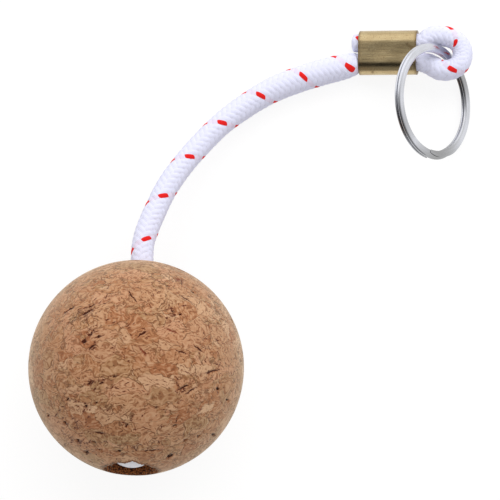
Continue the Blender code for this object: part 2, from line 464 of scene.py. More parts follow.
@dataclass(frozen=True)
class RopeFinish:
    """White polyester braid with one red tracer yarn, and painted shade in the gaps between its strands."""

    white: Colour = (0.79, 0.80, 0.98)
    # Painted shade in the gaps between strands; the random specks take this colour too
    gap_shade_and_speck: Colour = (0.66, 0.66, 0.78)
    red: Colour = (0.78, 0.009, 0.008)
    sealed: Colour = (0.84, 0.83, 0.88)
    wave: float = 0.18
    bulge: float = 0.25
    shaded_gap_heights: Limits = (0.06, 0.26)
    blotch: float = 2.2
    speck: float = 0.25
    speck_share: float = 0.35
    # Pink that the tracer lends to the strands over it
    blush: float = 0.10
    # A float of the tracer: how its sides and ends count, and where its rounded outline fades
    float_side: float = 2.1
    float_end: float = 1.02
    float_edge: Limits = (0.75, 1.15)
    roundness: float = 4.0
    filaments: float = 4.0
    hair_scale: float = 2.4
    hair_share: float = 1.5
    roughness: float = 0.62
    specular: float = 0.25
    sheen: float = 0.04
    relief_strength: float = 0.30
    relief_height: float = 0.00006

    def lay_group(self) -> bpy.types.NodeTree:
        """The braid's lay worked out from its UVs.

        Returns:
            The group, with the height of the strand on top, the place across it, and where the
            tracer is on top and below.
        """
        takes = {"Lay": None, "Carriers": CARRIERS, "Wave": self.wave, "Bulge": self.bulge}
        bench = GroupBench("braid lay", takes, ("Height", "Across", "Tracer", "Tracer Below"))
        carriers = bench.inputs["Carriers"]
        around, along, _ = bench.split(bench.inputs["Lay"])
        around = bench.times(around, carriers)
        along = bench.times(along, carriers)
        lay_a = bench.minus(around, along)
        lay_b = bench.plus(around, along)
        height_a, across_a, index_a, phase_a = self.strand(bench, lay_a, lay_b, STRAND_TOPS[0])
        height_b, across_b, _, _ = self.strand(bench, lay_b, lay_a, STRAND_TOPS[1])
        a_over = bench.math("GREATER_THAN", height_a, height_b)
        b_over = bench.minus(1.0, a_over)
        side = bench.math("ABSOLUTE", bench.times(across_a, self.float_side))
        end = bench.math("ABSOLUTE", bench.times(phase_a, self.float_end))
        oval = bench.plus(*(bench.math("POWER", part, self.roundness) for part in (side, end)))
        rounded = bench.minus(1.0, bench.ramp(oval, self.float_edge))
        own = bench.math("LESS_THAN", bench.math("WRAP", index_a, carriers, 0.0), 0.5)
        outputs = {
            "Height": bench.math("MAXIMUM", height_a, height_b),
            "Across": bench.plus(bench.between(a_over, across_b, across_a), b_over),
            "Tracer": bench.times(bench.times(own, a_over), rounded),
            "Tracer Below": bench.times(own, b_over),
        }
        return bench.complete(outputs)

    def strand(
        self, bench: GroupBench, across_lay: Socket, along_lay: Socket, top: float
    ) -> tuple[Socket, ...]:
        """One way's strands.

        Args:
            bench: the group's bench.
            across_lay: counts the strands.
            along_lay: runs along them.
            top: where along its wave a strand is on top.

        Returns:
            The strand's height, the place across it, its number, and the place along its float.
        """
        index = bench.math("FLOOR", across_lay)
        across = bench.minus(bench.minus(across_lay, index), 0.5)
        phase = bench.minus(bench.plus(along_lay, index), top)
        swing = bench.math("COSINE", bench.times(phase, math.pi / 2))
        doubled = bench.times(across, 2.0)
        inside = bench.minus(1.0, bench.times(doubled, doubled))
        crown = bench.math("SQRT", bench.math("MAXIMUM", inside, 0.0))
        waved = bench.times(swing, bench.inputs["Wave"])
        height = bench.plus(waved, bench.times(crown, bench.inputs["Bulge"]))
        return height, across, index, bench.math("WRAP", phase, 2.0, -2.0)

    def material(self, effects: Effects) -> bpy.types.Material:
        """The braid, read from its UVs and its melt field.

        Args:
            effects: the shared node groups.

        Returns:
            The material.
        """
        bench = MaterialBench("braided_rope")
        place = bench.place()
        braid = bench.group(self.lay_group(), {"Lay": bench.lay()})
        sizes = {"Place": place, "Blotch Size": self.blotch, "Speck Size": self.speck}
        mottle = bench.group(effects.mottle, sizes)
        # Painted shade: the yarn darkens towards the gaps between strands, where the strands lie low
        yarn = bench.mix(bench.ramp(braid["Height"], self.shaded_gap_heights), self.gap_shade_and_speck, self.white)
        specks = (mottle["Specks"], self.speck_share, self.gap_shade_and_speck)
        blush = (braid["Tracer Below"], self.blush, self.red)
        colour = bench.mix(braid["Tracer"], bench.layers(yarn, specks, blush), self.red)
        melt = bench.attribute("melt")
        filaments = bench.math("SINE", bench.times(braid["Across"], self.filaments * 2 * math.pi))
        hairs = bench.times(bench.noise(place, self.hair_scale, 4.0), self.hair_share)
        relief = bench.times(bench.plus(filaments, hairs), bench.minus(1.0, melt))
        inputs = {
            "Base Color": bench.mix(melt, colour, self.sealed),
            "Roughness": self.roughness,
            "Specular IOR Level": self.specular,
            "Sheen Weight": self.sheen,
            "Normal": bench.bump(relief, self.relief_strength, self.relief_height),
        }
        return bench.complete(inputs)


@dataclass(frozen=True)
class CorkFinish:
    """Pressed cork: granules of several tints with growth lines, dark outlines, and bark in the holes.

    Sizes are in millimetres, and limits are where a smooth step starts and ends.
    """

    rusty: Colour = (0.360, 0.142, 0.062)
    tan: Colour = (0.430, 0.210, 0.100)
    olive: Colour = (0.370, 0.212, 0.104)
    pink: Colour = (0.530, 0.275, 0.155)
    straw: Colour = (0.600, 0.370, 0.220)
    line: Colour = (0.185, 0.056, 0.018)
    outline: Colour = (0.110, 0.042, 0.015)
    bark: Colour = (0.034, 0.004, 0.001)
    rust: Colour = (0.200, 0.050, 0.022)
    # Burnt cork in the recess, which also serves as its painted shade
    scorched_and_shaded: Colour = (0.300, 0.098, 0.026)

    # Granules, some of them crushed to chips
    granule: float = 5.4
    chip: float = 2.6
    whole_share: float = 0.60
    flatness: tuple[float, float, float] = (1.0, 1.7, 1.35)
    drift: float = 4.0
    drift_scale: float = 0.30

    # Growth lines
    line_spacing: float = 1.05
    line_weight: float = 0.11
    bend: float = 6.0
    bend_scale: float = 0.22
    grain_scale: float = 0.8
    dark_lines: Limits = (0.45, 0.38)
    dark_share: float = 0.62
    pale_lines: Limits = (0.55, 0.65)
    pale_share: float = 0.50

    # Outlines, flecks and blotches
    border: Limits = (0.19, 0.05)
    breaks: Limits = (0.40, 0.56)
    break_scale: float = 0.55
    border_share: float = 0.72
    speck: float = 0.42
    fleck_lines: Limits = (0.56, 0.46)
    fleck_share: float = 0.85
    blotch: float = 9.0
    blotch_share: float = 0.22

    # Holes, cracks, rusty spots and pale granules, in half lengths and half widths of each
    mark_inside: Limits = (1.10, 0.45)
    mark_near: Limits = (3.20, 0.90)
    mark_end: float = 2.6
    mark_bow: float = 5.0
    ragged: float = 4.6
    pale_smoothing: float = 4.2
    ragged_scale: float = 2.6
    near_tones: Limits = (1.0, 0.6)
    near_share: float = 0.40
    filling_lines: float = 0.3

    # The recess: burnt cork, with painted shade inside it
    burnt_and_shaded_patches: Limits = (-0.10, 0.10)
    scorch_and_shade_edge: Limits = (0.35, 0.65)

    roughness: float = 0.78
    specular: float = 0.10
    sheen: float = 0.58
    sheen_roughness: float = 0.42
    sheen_tint: Colour = (1.0, 0.91, 0.72)
    line_relief: float = 0.8
    relief_strength: float = 0.55
    relief_height: float = 0.00012

    def flattened(self, bench: Bench, place: Socket) -> Socket:
        """The place moved by slow noise, then stretched to flatten the granules.

        Args:
            bench: the material's bench.
            place: the place on the ball.

        Returns:
            The place to lay the granules at.
        """
        noise = bench.noise(place, self.drift_scale, 2.0, output="Color")
        drift = bench.vector("MULTIPLY", bench.vector("SUBTRACT", noise, MID_GREY), (self.drift,) * 3)
        return bench.vector("MULTIPLY", bench.vector("ADD", place, drift), self.flatness)

    def cells(self, bench: Bench, laid: Socket, size: float) -> tuple[Socket, Socket]:
        """Granules of one size.

        Args:
            bench: the material's bench.
            laid: the place to lay them at.
            size: their size.

        Returns:
            Each granule's random colour, and the distance to its outline.
        """
        inputs = {"Vector": laid, "Scale": 1 / size}
        cells = bench.add("TexVoronoi", inputs, feature="F1")
        border = bench.add("TexVoronoi", inputs, feature="DISTANCE_TO_EDGE")
        return cells.outputs["Color"], bench.times(border.outputs["Distance"], size)

    def granules(self, bench: Bench, laid: Socket) -> tuple[Socket, Socket]:
        """Whole granules and chips together.

        Args:
            bench: the material's bench.
            laid: the place to lay them at.

        Returns:
            Each one's random colour, and the distance to its outline.
        """
        whole, whole_edge = self.cells(bench, laid, self.granule)
        chip, chip_edge = self.cells(bench, laid, self.chip)
        pick = bench.add("SeparateColor", {0: whole}).outputs[2]
        crushed = bench.math("GREATER_THAN", pick, self.whole_share)
        return bench.mix(crushed, whole, chip), bench.between(crushed, whole_edge, chip_edge)

    def tints(self, bench: Bench, random_colour: Socket) -> Socket:
        """A granule's own tint.

        Args:
            bench: the material's bench.
            random_colour: the granule's random colour.

        Returns:
            The tint.
        """
        pick = bench.add("SeparateColor", {0: random_colour}).outputs[0]
        ramp = bench.add("ValToRGB", {"Fac": pick})
        stops = ramp.color_ramp.elements
        order = (self.rusty, self.tan, self.olive, self.pink, self.tan, self.straw)
        for number, colour in enumerate(order[1:-1], start=1):
            stops.new(number / (len(order) - 1)).color = (*colour, 1.0)
        stops[0].color = (*order[0], 1.0)
        stops[-1].color = (*order[-1], 1.0)
        return ramp.outputs["Color"]

    def growth_lines(self, bench: Bench, laid: Socket, random_colour: Socket) -> Socket:
        """Even bands across each granule's own direction, bent and broken by noise.

        Args:
            bench: the material's bench.
            laid: the place to lay the granules at.
            random_colour: the granule's random colour, which turns its lines.

        Returns:
            About a half, less in dark lines and more in pale ones.
        """
        turned = bench.vector("MULTIPLY", bench.vector("SUBTRACT", random_colour, MID_GREY), self.flatness)
        inputs = {0: laid, 1: bench.vector("NORMALIZE", turned)}
        reach = bench.add("VectorMath", inputs, operation="DOT_PRODUCT").outputs["Value"]
        bend = bench.times(bench.noise(laid, self.bend_scale, 1.0), self.bend)
        phase = bench.plus(bench.math("DIVIDE", reach, self.line_spacing), bend)
        band = bench.math("SINE", bench.times(phase, 2 * math.pi))
        grain = bench.noise(laid, self.grain_scale, 4.0)
        return bench.plus(grain, bench.times(band, self.line_weight))

    def mark_shape(self, bench: Bench, ragged: Socket, bent: Socket, tone: Socket) -> tuple[Socket, Socket]:
        """The shape of a hole or crack, from the place in the nearest mark.

        Args:
            bench: the material's bench.
            ragged: fine noise about 0, which breaks the edge.
            bent: slow noise about a half, which bends a long crack.
            tone: the mark's tone, because a pale granule's edge is smoother.

        Returns:
            1 inside the mark, and 1 in it and close round it.
        """
        along, across, reach = bench.split(bench.attribute("mark", "Vector"))
        across = bench.plus(across, bench.times(bench.minus(bent, 0.5), self.mark_bow))
        oval = bench.plus(bench.times(along, along), bench.times(across, across))
        breaking = bench.minus(self.ragged, bench.times(tone, self.pale_smoothing))
        oval = bench.plus(oval, bench.times(ragged, breaking))
        close = bench.math("LESS_THAN", reach, self.mark_end)
        inside = bench.times(bench.ramp(oval, self.mark_inside), close)
        return inside, bench.times(bench.ramp(oval, self.mark_near), close)

    def filling(self, bench: Bench, tone: Socket, dark_line: Socket) -> Socket:
        """The colour inside a mark.

        Args:
            bench: the material's bench.
            tone: 0 for bark, a half for rust and 1 for a pale granule.
            dark_line: 1 in dark growth lines, which show faintly in a pale granule.

        Returns:
            The colour.
        """
        dark = bench.mix(bench.ramp(tone, (0.0, 0.5)), self.bark, self.rust)
        pale = bench.mix(bench.times(dark_line, self.filling_lines), self.straw, self.line)
        return bench.mix(bench.ramp(tone, (0.5, 1.0)), dark, pale)

    def material(self, effects: Effects) -> bpy.types.Material:
        """The cork, read from places on the ball and its mark, tone and scorch-and-shade fields; the last
        paints the recess dark, as burnt cork and painted shade.

        Args:
            effects: the shared node groups.

        Returns:
            The material.
        """
        bench = MaterialBench("pressed_cork")
        place = bench.place()
        laid = self.flattened(bench, place)
        own, edge = self.granules(bench, laid)
        lines = self.growth_lines(bench, laid, own)
        dark_line = bench.ramp(lines, self.dark_lines)
        broken = bench.noise(place, self.break_scale, 2.0)
        border = bench.times(bench.ramp(edge, self.border), bench.ramp(broken, self.breaks))
        sizes = {"Place": place, "Blotch Size": self.blotch, "Speck Size": self.speck}
        mottle = bench.group(effects.mottle, sizes)
        fleck = bench.times(mottle["Specks"], bench.ramp(lines, self.fleck_lines))
        ragged = bench.minus(bench.noise(place, self.ragged_scale, 2.0), 0.5)
        tone = bench.attribute("tone")
        inside, near = self.mark_shape(bench, ragged, broken, tone)
        colour = bench.layers(
            self.tints(bench, own),
            (dark_line, self.dark_share, self.line),
            (bench.ramp(lines, self.pale_lines), self.pale_share, self.straw),
            (border, self.border_share, self.outline),
            (fleck, self.fleck_share, self.outline),
            (mottle["Blotches"], self.blotch_share, self.rusty),
            (bench.times(near, bench.ramp(tone, self.near_tones)), self.near_share, self.rust),
        )
        colour = bench.mix(inside, colour, self.filling(bench, tone, dark_line))
        # The recess and the ball round its rim: burnt cork, and painted shade inside the recess
        burnt_and_shaded = bench.mix(bench.ramp(ragged, self.burnt_and_shaded_patches), self.bark, self.scorched_and_shaded)
        scorch_and_shade = bench.ramp(bench.plus(bench.attribute("scorch_and_shade"), ragged), self.scorch_and_shade_edge)
        relief = bench.minus(bench.times(lines, self.line_relief), border)
        relief = bench.minus(relief, bench.plus(fleck, inside))
        inputs = {
            "Base Color": bench.mix(scorch_and_shade, colour, burnt_and_shaded),
            "Roughness": self.roughness,
            "Specular IOR Level": self.specular,
            "Sheen Weight": self.sheen,
            "Sheen Roughness": self.sheen_roughness,
            "Sheen Tint": self.sheen_tint,
            "Normal": bench.bump(relief, self.relief_strength, self.relief_height),
        }
        return bench.complete(inputs)


@dataclass(frozen=True)
class MetalFinish:
    """What the metals share: lines drawn along them, blotches and specks, with sizes in millimetres."""

    line_width: float = 0.12
    line_length: float = 6.0
    blotch: float = 3.0
    speck: float = 0.5
    relief_height: float = 0.00003

    def wear(self, bench: Bench, effects: Effects) -> tuple[Socket, ...]:
        """The metal's lines and spots.

        Args:
            bench: the material's bench.
            effects: the shared node groups.

        Returns:
            Fine lines, broad bands, blotches and specks.
        """
        lines = {"Lay": bench.lay(), "Line Width": self.line_width, "Line Length": self.line_length}
        spots = {"Place": bench.place(), "Blotch Size": self.blotch, "Speck Size": self.speck}
        return (*bench.group(effects.streaks, lines), *bench.group(effects.mottle, spots))


@dataclass(frozen=True)
class BrassFinish(MetalFinish):
    """Dull pressed brass with fine lines along it, blotches and a few stains."""

    bright: Colour = (0.640, 0.520, 0.305)
    brown: Colour = (0.480, 0.360, 0.190)
    stained: Colour = (0.190, 0.118, 0.055)
    line_width: float = 0.10
    line_length: float = 5.0
    blotch: float = 2.4
    speck: float = 0.30
    line_share: float = 0.45
    blotch_share: float = 0.45
    speck_share: float = 0.40
    roughness: float = 0.17
    blotch_roughness: float = 0.06
    stain_roughness: float = 0.2
    relief_strength: float = 0.20

    def material(self, effects: Effects) -> bpy.types.Material:
        """The brass, read from the sleeve's UVs and its stain field.

        Args:
            effects: the shared node groups.

        Returns:
            The material.
        """
        bench = MaterialBench("dull_brass")
        fine, broad, blotches, specks = self.wear(bench, effects)
        shade = bench.plus(bench.times(fine, self.line_share), bench.times(broad, self.line_share))
        colour = bench.layers(
            bench.mix(shade, self.brown, self.bright),
            (blotches, self.blotch_share, self.brown),
            (specks, self.speck_share, self.stained),
        )
        stain = bench.attribute("stain")
        rough = bench.plus(self.roughness, bench.times(blotches, self.blotch_roughness))
        inputs = {
            "Base Color": bench.mix(stain, colour, self.stained),
            "Metallic": 1.0,
            "Roughness": bench.plus(rough, bench.times(stain, self.stain_roughness)),
            "Normal": bench.bump(bench.plus(fine, broad), self.relief_strength, self.relief_height),
        }
        return bench.complete(inputs)


@dataclass(frozen=True)
class SteelFinish(MetalFinish):
    """Bright flat steel wire with lines drawn along it, light handling marks, and stretches of painted
    shade.
    """

    bright: Colour = (0.74, 0.75, 0.82)
    dull: Colour = (0.55, 0.56, 0.58)
    # Painted shade: the grey that darkens stretches of the wire
    painted_shade_grey: Colour = (0.24, 0.24, 0.23)
    line_width: float = 0.15
    line_length: float = 9.0
    blotch: float = 7.0
    speck: float = 0.22
    fine_share: float = 0.25
    broad_share: float = 0.45
    blotch_share: float = 0.35
    speck_share: float = 0.30
    roughness: float = 0.15
    blotch_roughness: float = 0.08
    broad_relief: float = 2.0
    relief_strength: float = 0.06

    def material(self, effects: Effects) -> bpy.types.Material:
        """The steel, read from the wire's UVs and its field of painted shade.

        Args:
            effects: the shared node groups.

        Returns:
            The material.
        """
        bench = MaterialBench("drawn_steel")
        fine, broad, blotches, specks = self.wear(bench, effects)
        shade = bench.plus(bench.times(fine, self.fine_share), bench.times(broad, self.broad_share))
        shade = bench.plus(shade, bench.times(blotches, self.blotch_share))
        colour = bench.mix(shade, self.dull, self.bright)
        # Painted shade: the wire goes darker in stretches that stand in for dark reflections and shade
        colour = bench.mix(bench.attribute("painted_shade"), colour, self.painted_shade_grey)
        relief = bench.plus(fine, bench.times(broad, self.broad_relief))
        inputs = {
            "Base Color": bench.layers(colour, (specks, self.speck_share, self.dull)),
            "Metallic": 1.0,
            "Roughness": bench.plus(bench.times(blotches, self.blotch_roughness), self.roughness),
            "Normal": bench.bump(relief, self.relief_strength, self.relief_height),
        }
        return bench.complete(inputs)


@dataclass
class SmoothRoute:
    """One smooth curve through points of x, y, z and diameter."""

    knots: np.ndarray
    fineness: int = 40

    def sampled(self) -> tuple[np.ndarray, np.ndarray]:
        """Points close together along the curve.

        Returns:
            The points, and how far along the curve each one is.
        """
        last = len(self.knots) - 1
        shares = np.arange(self.fineness)[:, None] / self.fineness
        spans = []
        for index in range(last):
            # A cubic from b to c that leaves each of them parallel to the line between its neighbours
            a, b, c, d = (self.knots[min(max(index + k, 0), last)] for k in (-1, 0, 1, 2))
            value = 2 * b + (c - a) * shares
            value = value + (2 * a - 5 * b + 4 * c - d) * shares**2
            value = value + (3 * b - a - 3 * c + d) * shares**3
            spans.append(value / 2)
        points = np.vstack([*spans, self.knots[last:]])
        steps = np.linalg.norm(np.diff(points[:, :3], axis=0), axis=1)
        return points, np.concatenate([[0.0], np.cumsum(steps)])


class MarkKind(Enum):
    """What a mark in the cork is."""

    # Tone from 0, bark, through 0.5, rust, to 1, pale; depth; usual length; usual width
    HOLE = (0.00, 0.00055, 0.0010, 0.00060)
    PINHOLE = (0.22, 0.00010, 0.0004, 0.00026)
    CRACK = (0.12, 0.00028, 0.0026, 0.00045)
    RUST = (0.50, 0.00008, 0.0024, 0.00055)
    PALE = (1.00, 0.0, 0.0034, 0.00150)

    def __init__(self, tone: float, depth: float, length: float, width: float) -> None:
        """Name the value's parts.

        Args:
            tone: the tone of its filling.
            depth: how deep it sinks the surface.
            length: its usual length.
            width: its usual width.
        """
        self.tone = tone
        self.depth = depth
        self.length = length
        self.width = width


@dataclass(frozen=True)
class CorkMark:
    """One mark in the ball's surface, from the ball's centre."""

    kind: MarkKind
    centre: np.ndarray
    span: np.ndarray
    width: float

    def local(self, places: np.ndarray) -> tuple[np.ndarray, np.ndarray, np.ndarray]:
        """Places in the mark.

        Args:
            places: points on the ball, from its centre.

        Returns:
            How far along and across the mark they lie, in half lengths and half widths of it, and
            how far above it, in lengths.
        """
        length = np.linalg.norm(self.span)
        along = self.span / length
        outward = self.centre / np.linalg.norm(self.centre)
        across = np.cross(outward, along)
        offset = places - self.centre
        aside = (offset @ across) / (self.width / 2)
        return 2 * (offset @ along) / length, aside, (offset @ outward) / length


@dataclass
class CorkBall:
    """The bored ball, with a recess at the bore's lower end."""

    diameter: float = 0.050
    place: tuple[float, float] = (-0.0264, -0.0273)
    bore_diameter: float = 0.0060
    bore_rise: float = math.radians(-18.3)
    bore_heading: float = math.radians(88.0)
    recess_diameter: float = 0.012
    recess_depth: float = 0.0088
    recess_taper: float = 0.0005
    columns: int = 380
    belts: int = 224
    wall_rows: int = 12
    floor_rows: int = 4
    bore_rows: int = 20
    # How far out from the recess rim the burnt cork and painted shade reach
    scorched_and_shaded_rim: float = 0.0014

    # Chips out of the recess rim: middle and half width in degrees from its top, and depth
    rim_chips: tuple = ((-24, 17, 0.0008), (6, 20, 0.0013), (34, 12, 0.0006))
    # The ragged rim: waves to a turn and shift of each
    ragged_rim: float = 0.00016
    rim_waves: tuple = ((9.3, 0.7), (21.0, 0.0), (33.0, 2.0))
    # The crumbled wall: waves to a turn, and how far each turns on its way down
    crumbled_wall: float = 0.00014
    wall_waves: tuple = ((11, 9), (17, -23), (31, 40))

    # Seeded marks: those where the photographed side ends, and small pits all over
    seed: int = 11
    unseen_marks: int = 260
    pinholes: int = 200
    seen_height: float = 0.004
    size_spread: Limits = (0.7, 1.3)
    unseen_kinds: tuple[MarkKind, ...] = (
        MarkKind.HOLE,
        MarkKind.HOLE,
        MarkKind.CRACK,
        MarkKind.CRACK,
        MarkKind.RUST,
        MarkKind.PALE,
    )
    # Pits in a group: lengths and widths in millimetres, and degrees of turn and of its spread
    pit_lengths: Limits = (0.4, 1.3)
    pit_widths: Limits = (0.15, 0.30)
    pit_turn: float = 28
    pit_spread: float = 30
    # A mark counts this many half lengths away, and its hollow fades by this share
    mark_reach: float = 6.0
    hollow_fade: float = 0.55

    # Marks that show from above, in millimetres and degrees: right and up of the middle, length,
    # width and turn of each
    holes: tuple = (
        (8.3, -19.2, 1.4, 1.15, 60),
        (9.8, -11.8, 0.9, 0.60, 20),
        (10.3, -10.2, 1.8, 0.22, 70),
        (-0.8, -11.4, 0.7, 0.65, 0),
        (-3.4, -0.4, 0.7, 0.55, 30),
        (-14.1, -6.0, 0.9, 0.55, 40),
        (-15.1, -11.3, 0.7, 0.55, 0),
        (-10.0, -7.3, 0.9, 0.50, 30),
        (-7.5, -6.4, 0.7, 0.45, 30),
        (-12.3, -15.4, 0.9, 0.55, 20),
        (-8.4, -15.6, 0.7, 0.55, 0),
        (-7.0, -17.5, 0.8, 0.55, 10),
        (-10.4, -18.3, 0.9, 0.55, 20),
        (-2.8, -17.5, 0.7, 0.55, 0),
        (21.3, -6.8, 0.8, 0.50, -50),
        (19.2, -3.9, 0.8, 0.50, -40),
        (18.1, -14.9, 0.9, 0.55, -40),
        (15.0, -14.6, 0.9, 0.55, 30),
        (11.9, -15.3, 0.8, 0.50, 0),
        (5.8, -7.6, 0.7, 0.45, 20),
        (10.9, 13.0, 0.9, 0.55, -20),
        (9.5, 13.6, 0.7, 0.45, 0),
        (7.9, 19.3, 0.8, 0.45, -20),
        (13.6, 17.8, 0.9, 0.55, -30),
        (-19.2, -10.1, 0.7, 0.50, 60),
        (-6.9, 8.2, 0.7, 0.45, 40),
        (-10.1, 7.0, 0.7, 0.45, 30),
        (-7.1, 24.0, 0.9, 0.45, 20),
    )
    cracks: tuple = (
        (-9.9, 13.4, 2.9, 0.67, 28),
        (-13.3, 11.6, 2.8, 0.30, 36),
        (-9.0, 14.8, 2.2, 0.34, 30),
        (-14.2, 13.9, 3.4, 0.40, 33),
        (-8.8, 8.8, 1.9, 0.45, 62),
        (-10.2, 7.2, 1.3, 0.50, 40),
        (-8.5, 5.9, 2.2, 0.40, 34),
        (-8.7, -2.0, 1.6, 0.49, 27),
        (-6.3, -2.0, 1.4, 0.45, 25),
        (-7.0, -13.3, 2.5, 0.45, -7),
        (0.1, 17.0, 3.4, 0.30, -52),
        (2.7, 8.7, 2.7, 0.45, 30),
        (11.4, 4.8, 2.9, 0.40, -23),
        (15.0, 5.3, 2.4, 0.40, -38),
        (11.7, 16.6, 3.0, 0.45, -31),
        (18.0, 0.2, 3.2, 0.40, 10),
        (11.8, -3.0, 2.4, 0.45, 24),
        (13.4, -3.9, 2.6, 0.50, 28),
        (4.1, -17.5, 3.5, 0.38, 4),
    )
    rusts: tuple = (
        (9.0, 9.5, 2.7, 0.55, -25),
        (2.8, 5.0, 2.2, 0.50, -58),
        (10.0, 20.6, 1.3, 1.00, 0),
    )
    pale_granules: tuple = (
        (-8.5, -7.8, 3.0, 1.6, 20),
        (16.5, -8.0, 5.0, 1.6, 28),
    )
    # Groups of small pits that show from above: right and up of the middle, reach, and how many
    pit_groups: tuple = (
        (-13.5, -13.0, 5.0, 26),
        (-10.5, -16.5, 4.0, 18),
        (-12.4, -7.2, 4.0, 14),
        (-7.6, -1.9, 3.0, 14),
        (-8.9, 13.2, 4.0, 16),
        (-9.0, 7.5, 2.5, 10),
        (10.2, 13.2, 3.0, 14),
        (7.6, 18.0, 5.0, 14),
        (12.6, -4.0, 3.5, 12),
        (1.2, -14.9, 6.0, 18),
        (0.0, 8.0, 6.0, 16),
        (2.0, -4.0, 8.0, 14),
        (17.0, 4.0, 5.0, 10),
    )

    def radius(self) -> float:
        """Half the ball's diameter."""
        return self.diameter / 2

    def centre(self) -> Vector:
        """The ball rests on the floor."""
        return Vector((*self.place, self.radius())) + ROW_SHIFT

    def direction(self) -> Vector:
        """Along the bore, out of the end that the rope leaves by."""
        return direction_of(self.bore_rise, self.bore_heading)

    def mouth_distance(self, hole_diameter: float) -> float:
        """How far from the centre a hole of this diameter meets the surface."""
        return math.sqrt(self.radius() ** 2 - (hole_diameter / 2) ** 2)

    def recess_floor(self) -> float:
        """How far from the centre the recess ends."""
        return self.mouth_distance(self.recess_diameter) - self.recess_depth

    def turns(self) -> np.ndarray:
        """The angle of each column round the bore."""
        return np.arange(self.columns) * 2 * math.pi / self.columns

    def rim(self) -> np.ndarray:
        """The radius of the recess rim, chipped and ragged.

        Returns:
            The radius at each column.
        """
        from_top = np.remainder(self.turns() + math.pi / 2, 2 * math.pi) - math.pi
        depth = np.zeros_like(from_top)
        for middle, half_width, most in self.rim_chips:
            reach = np.abs(from_top - math.radians(middle)) / math.radians(half_width)
            depth = np.maximum(depth, most * (1 - np.clip(reach, 0, 1)))
        ragged = sum(np.abs(np.sin(waves * from_top + shift)) for waves, shift in self.rim_waves)
        return self.recess_diameter / 2 + depth + self.ragged_rim * ragged

    def seen_mark(self, kind: MarkKind, row: tuple) -> CorkMark:
        """Lay one mark that shows from above on the ball.

        Args:
            kind: what the mark is.
            row: right, up, length, width and turn as in the lists above.

        Returns:
            The mark.
        """
        right, up, length, width, turn = row
        ends = []
        for half in (-length / 2, length / 2):
            x = (right + half * math.cos(math.radians(turn))) / MM_PER_M
            y = (up + half * math.sin(math.radians(turn))) / MM_PER_M
            z = math.sqrt(max(self.radius() ** 2 - x**2 - y**2, 0.0))
            ends.append(np.array([x, y, z]))
        return CorkMark(kind, (ends[0] + ends[1]) / 2, ends[1] - ends[0], width / MM_PER_M)

    def pit(self, random: np.random.Generator, right: float, up: float, reach: float) -> CorkMark:
        """One small pit of a group.

        Args:
            random: the seeded source.
            right: the group's middle, right of the ball's.
            up: the group's middle, up from the ball's.
            reach: how far the group spreads.

        Returns:
            The pit.
        """
        x = right + reach * random.normal() / 2
        y = up + reach * random.normal() / 2
        turn = math.copysign(self.pit_turn, -x) + self.pit_spread * random.normal()
        length = random.uniform(*self.pit_lengths)
        return self.seen_mark(MarkKind.PINHOLE, (x, y, length, random.uniform(*self.pit_widths), turn))

    def scattered_marks(self, random: np.random.Generator) -> list[CorkMark]:
        """Marks of all kinds where the ball doesn't show, and pinholes all round.

        Args:
            random: the seeded source.

        Returns:
            The marks.
        """
        marks = []
        for number in range(self.unseen_marks + self.pinholes):
            centre = random.normal(size=3)
            centre *= self.radius() / np.linalg.norm(centre)
            along = np.cross(centre, random.normal(size=3))
            along /= np.linalg.norm(along)
            size = random.uniform(*self.size_spread)
            pinhole = number >= self.unseen_marks
            kind = MarkKind.PINHOLE if pinhole else self.unseen_kinds[number % len(self.unseen_kinds)]
            if pinhole or centre[2] < self.seen_height:
                marks.append(CorkMark(kind, centre, along * kind.length * size, kind.width * size))
        return marks

    def marks(self) -> list[CorkMark]:
        """Every mark: those that show from above, their small pits, and scattered ones.

        Returns:
            The marks.
        """
        seen = {
            MarkKind.HOLE: self.holes,
            MarkKind.CRACK: self.cracks,
            MarkKind.RUST: self.rusts,
            MarkKind.PALE: self.pale_granules,
        }
        marks = [self.seen_mark(kind, row) for kind, rows in seen.items() for row in rows]
        random = np.random.default_rng(self.seed)
        for *group, count in self.pit_groups:
            marks += [self.pit(random, *group) for _ in range(count)]
        return marks + self.scattered_marks(random)

    def lay_marks(self, places: np.ndarray) -> tuple[np.ndarray, np.ndarray, np.ndarray]:
        """Work out what the marks do at each point of the surface.

        Args:
            places: points on the ball, from its centre.

        Returns:
            The place in the nearest mark, that mark's tone, and how deep the surface is sunk.
        """
        count = len(places)
        nearest = np.full(count, self.mark_reach)
        where = np.full((count, 3), self.mark_reach)
        tone = np.zeros(count)
        sunk = np.zeros(count)
        for mark in self.marks():
            along, across, off = mark.local(places)
            reach = np.sqrt(along**2 + across**2 + off**2)
            hit = reach < nearest
            nearest[hit] = reach[hit]
            where[hit] = np.stack([np.abs(along), across, reach], axis=-1)[hit]
            tone[hit] = mark.kind.tone
            sunk += mark.kind.depth * np.clip(1 - self.hollow_fade * reach**2, 0, 1)
        return where, tone, sunk

    def shell_rows(self, rim: np.ndarray) -> Rows:
        """The round surface, from the bore's mouth to the recess.

        Args:
            rim: the radius of the recess rim at each column.

        Returns:
            Radius and height of each row.
        """
        radius = self.radius()
        first = math.asin(self.bore_diameter / 2 / radius)
        last = math.pi - np.arcsin(rim / radius)
        share = (np.arange(self.belts + 1) / self.belts)[:, None]
        return [(radius * np.sin(a), radius * np.cos(a)) for a in first + (last - first)[None, :] * share]

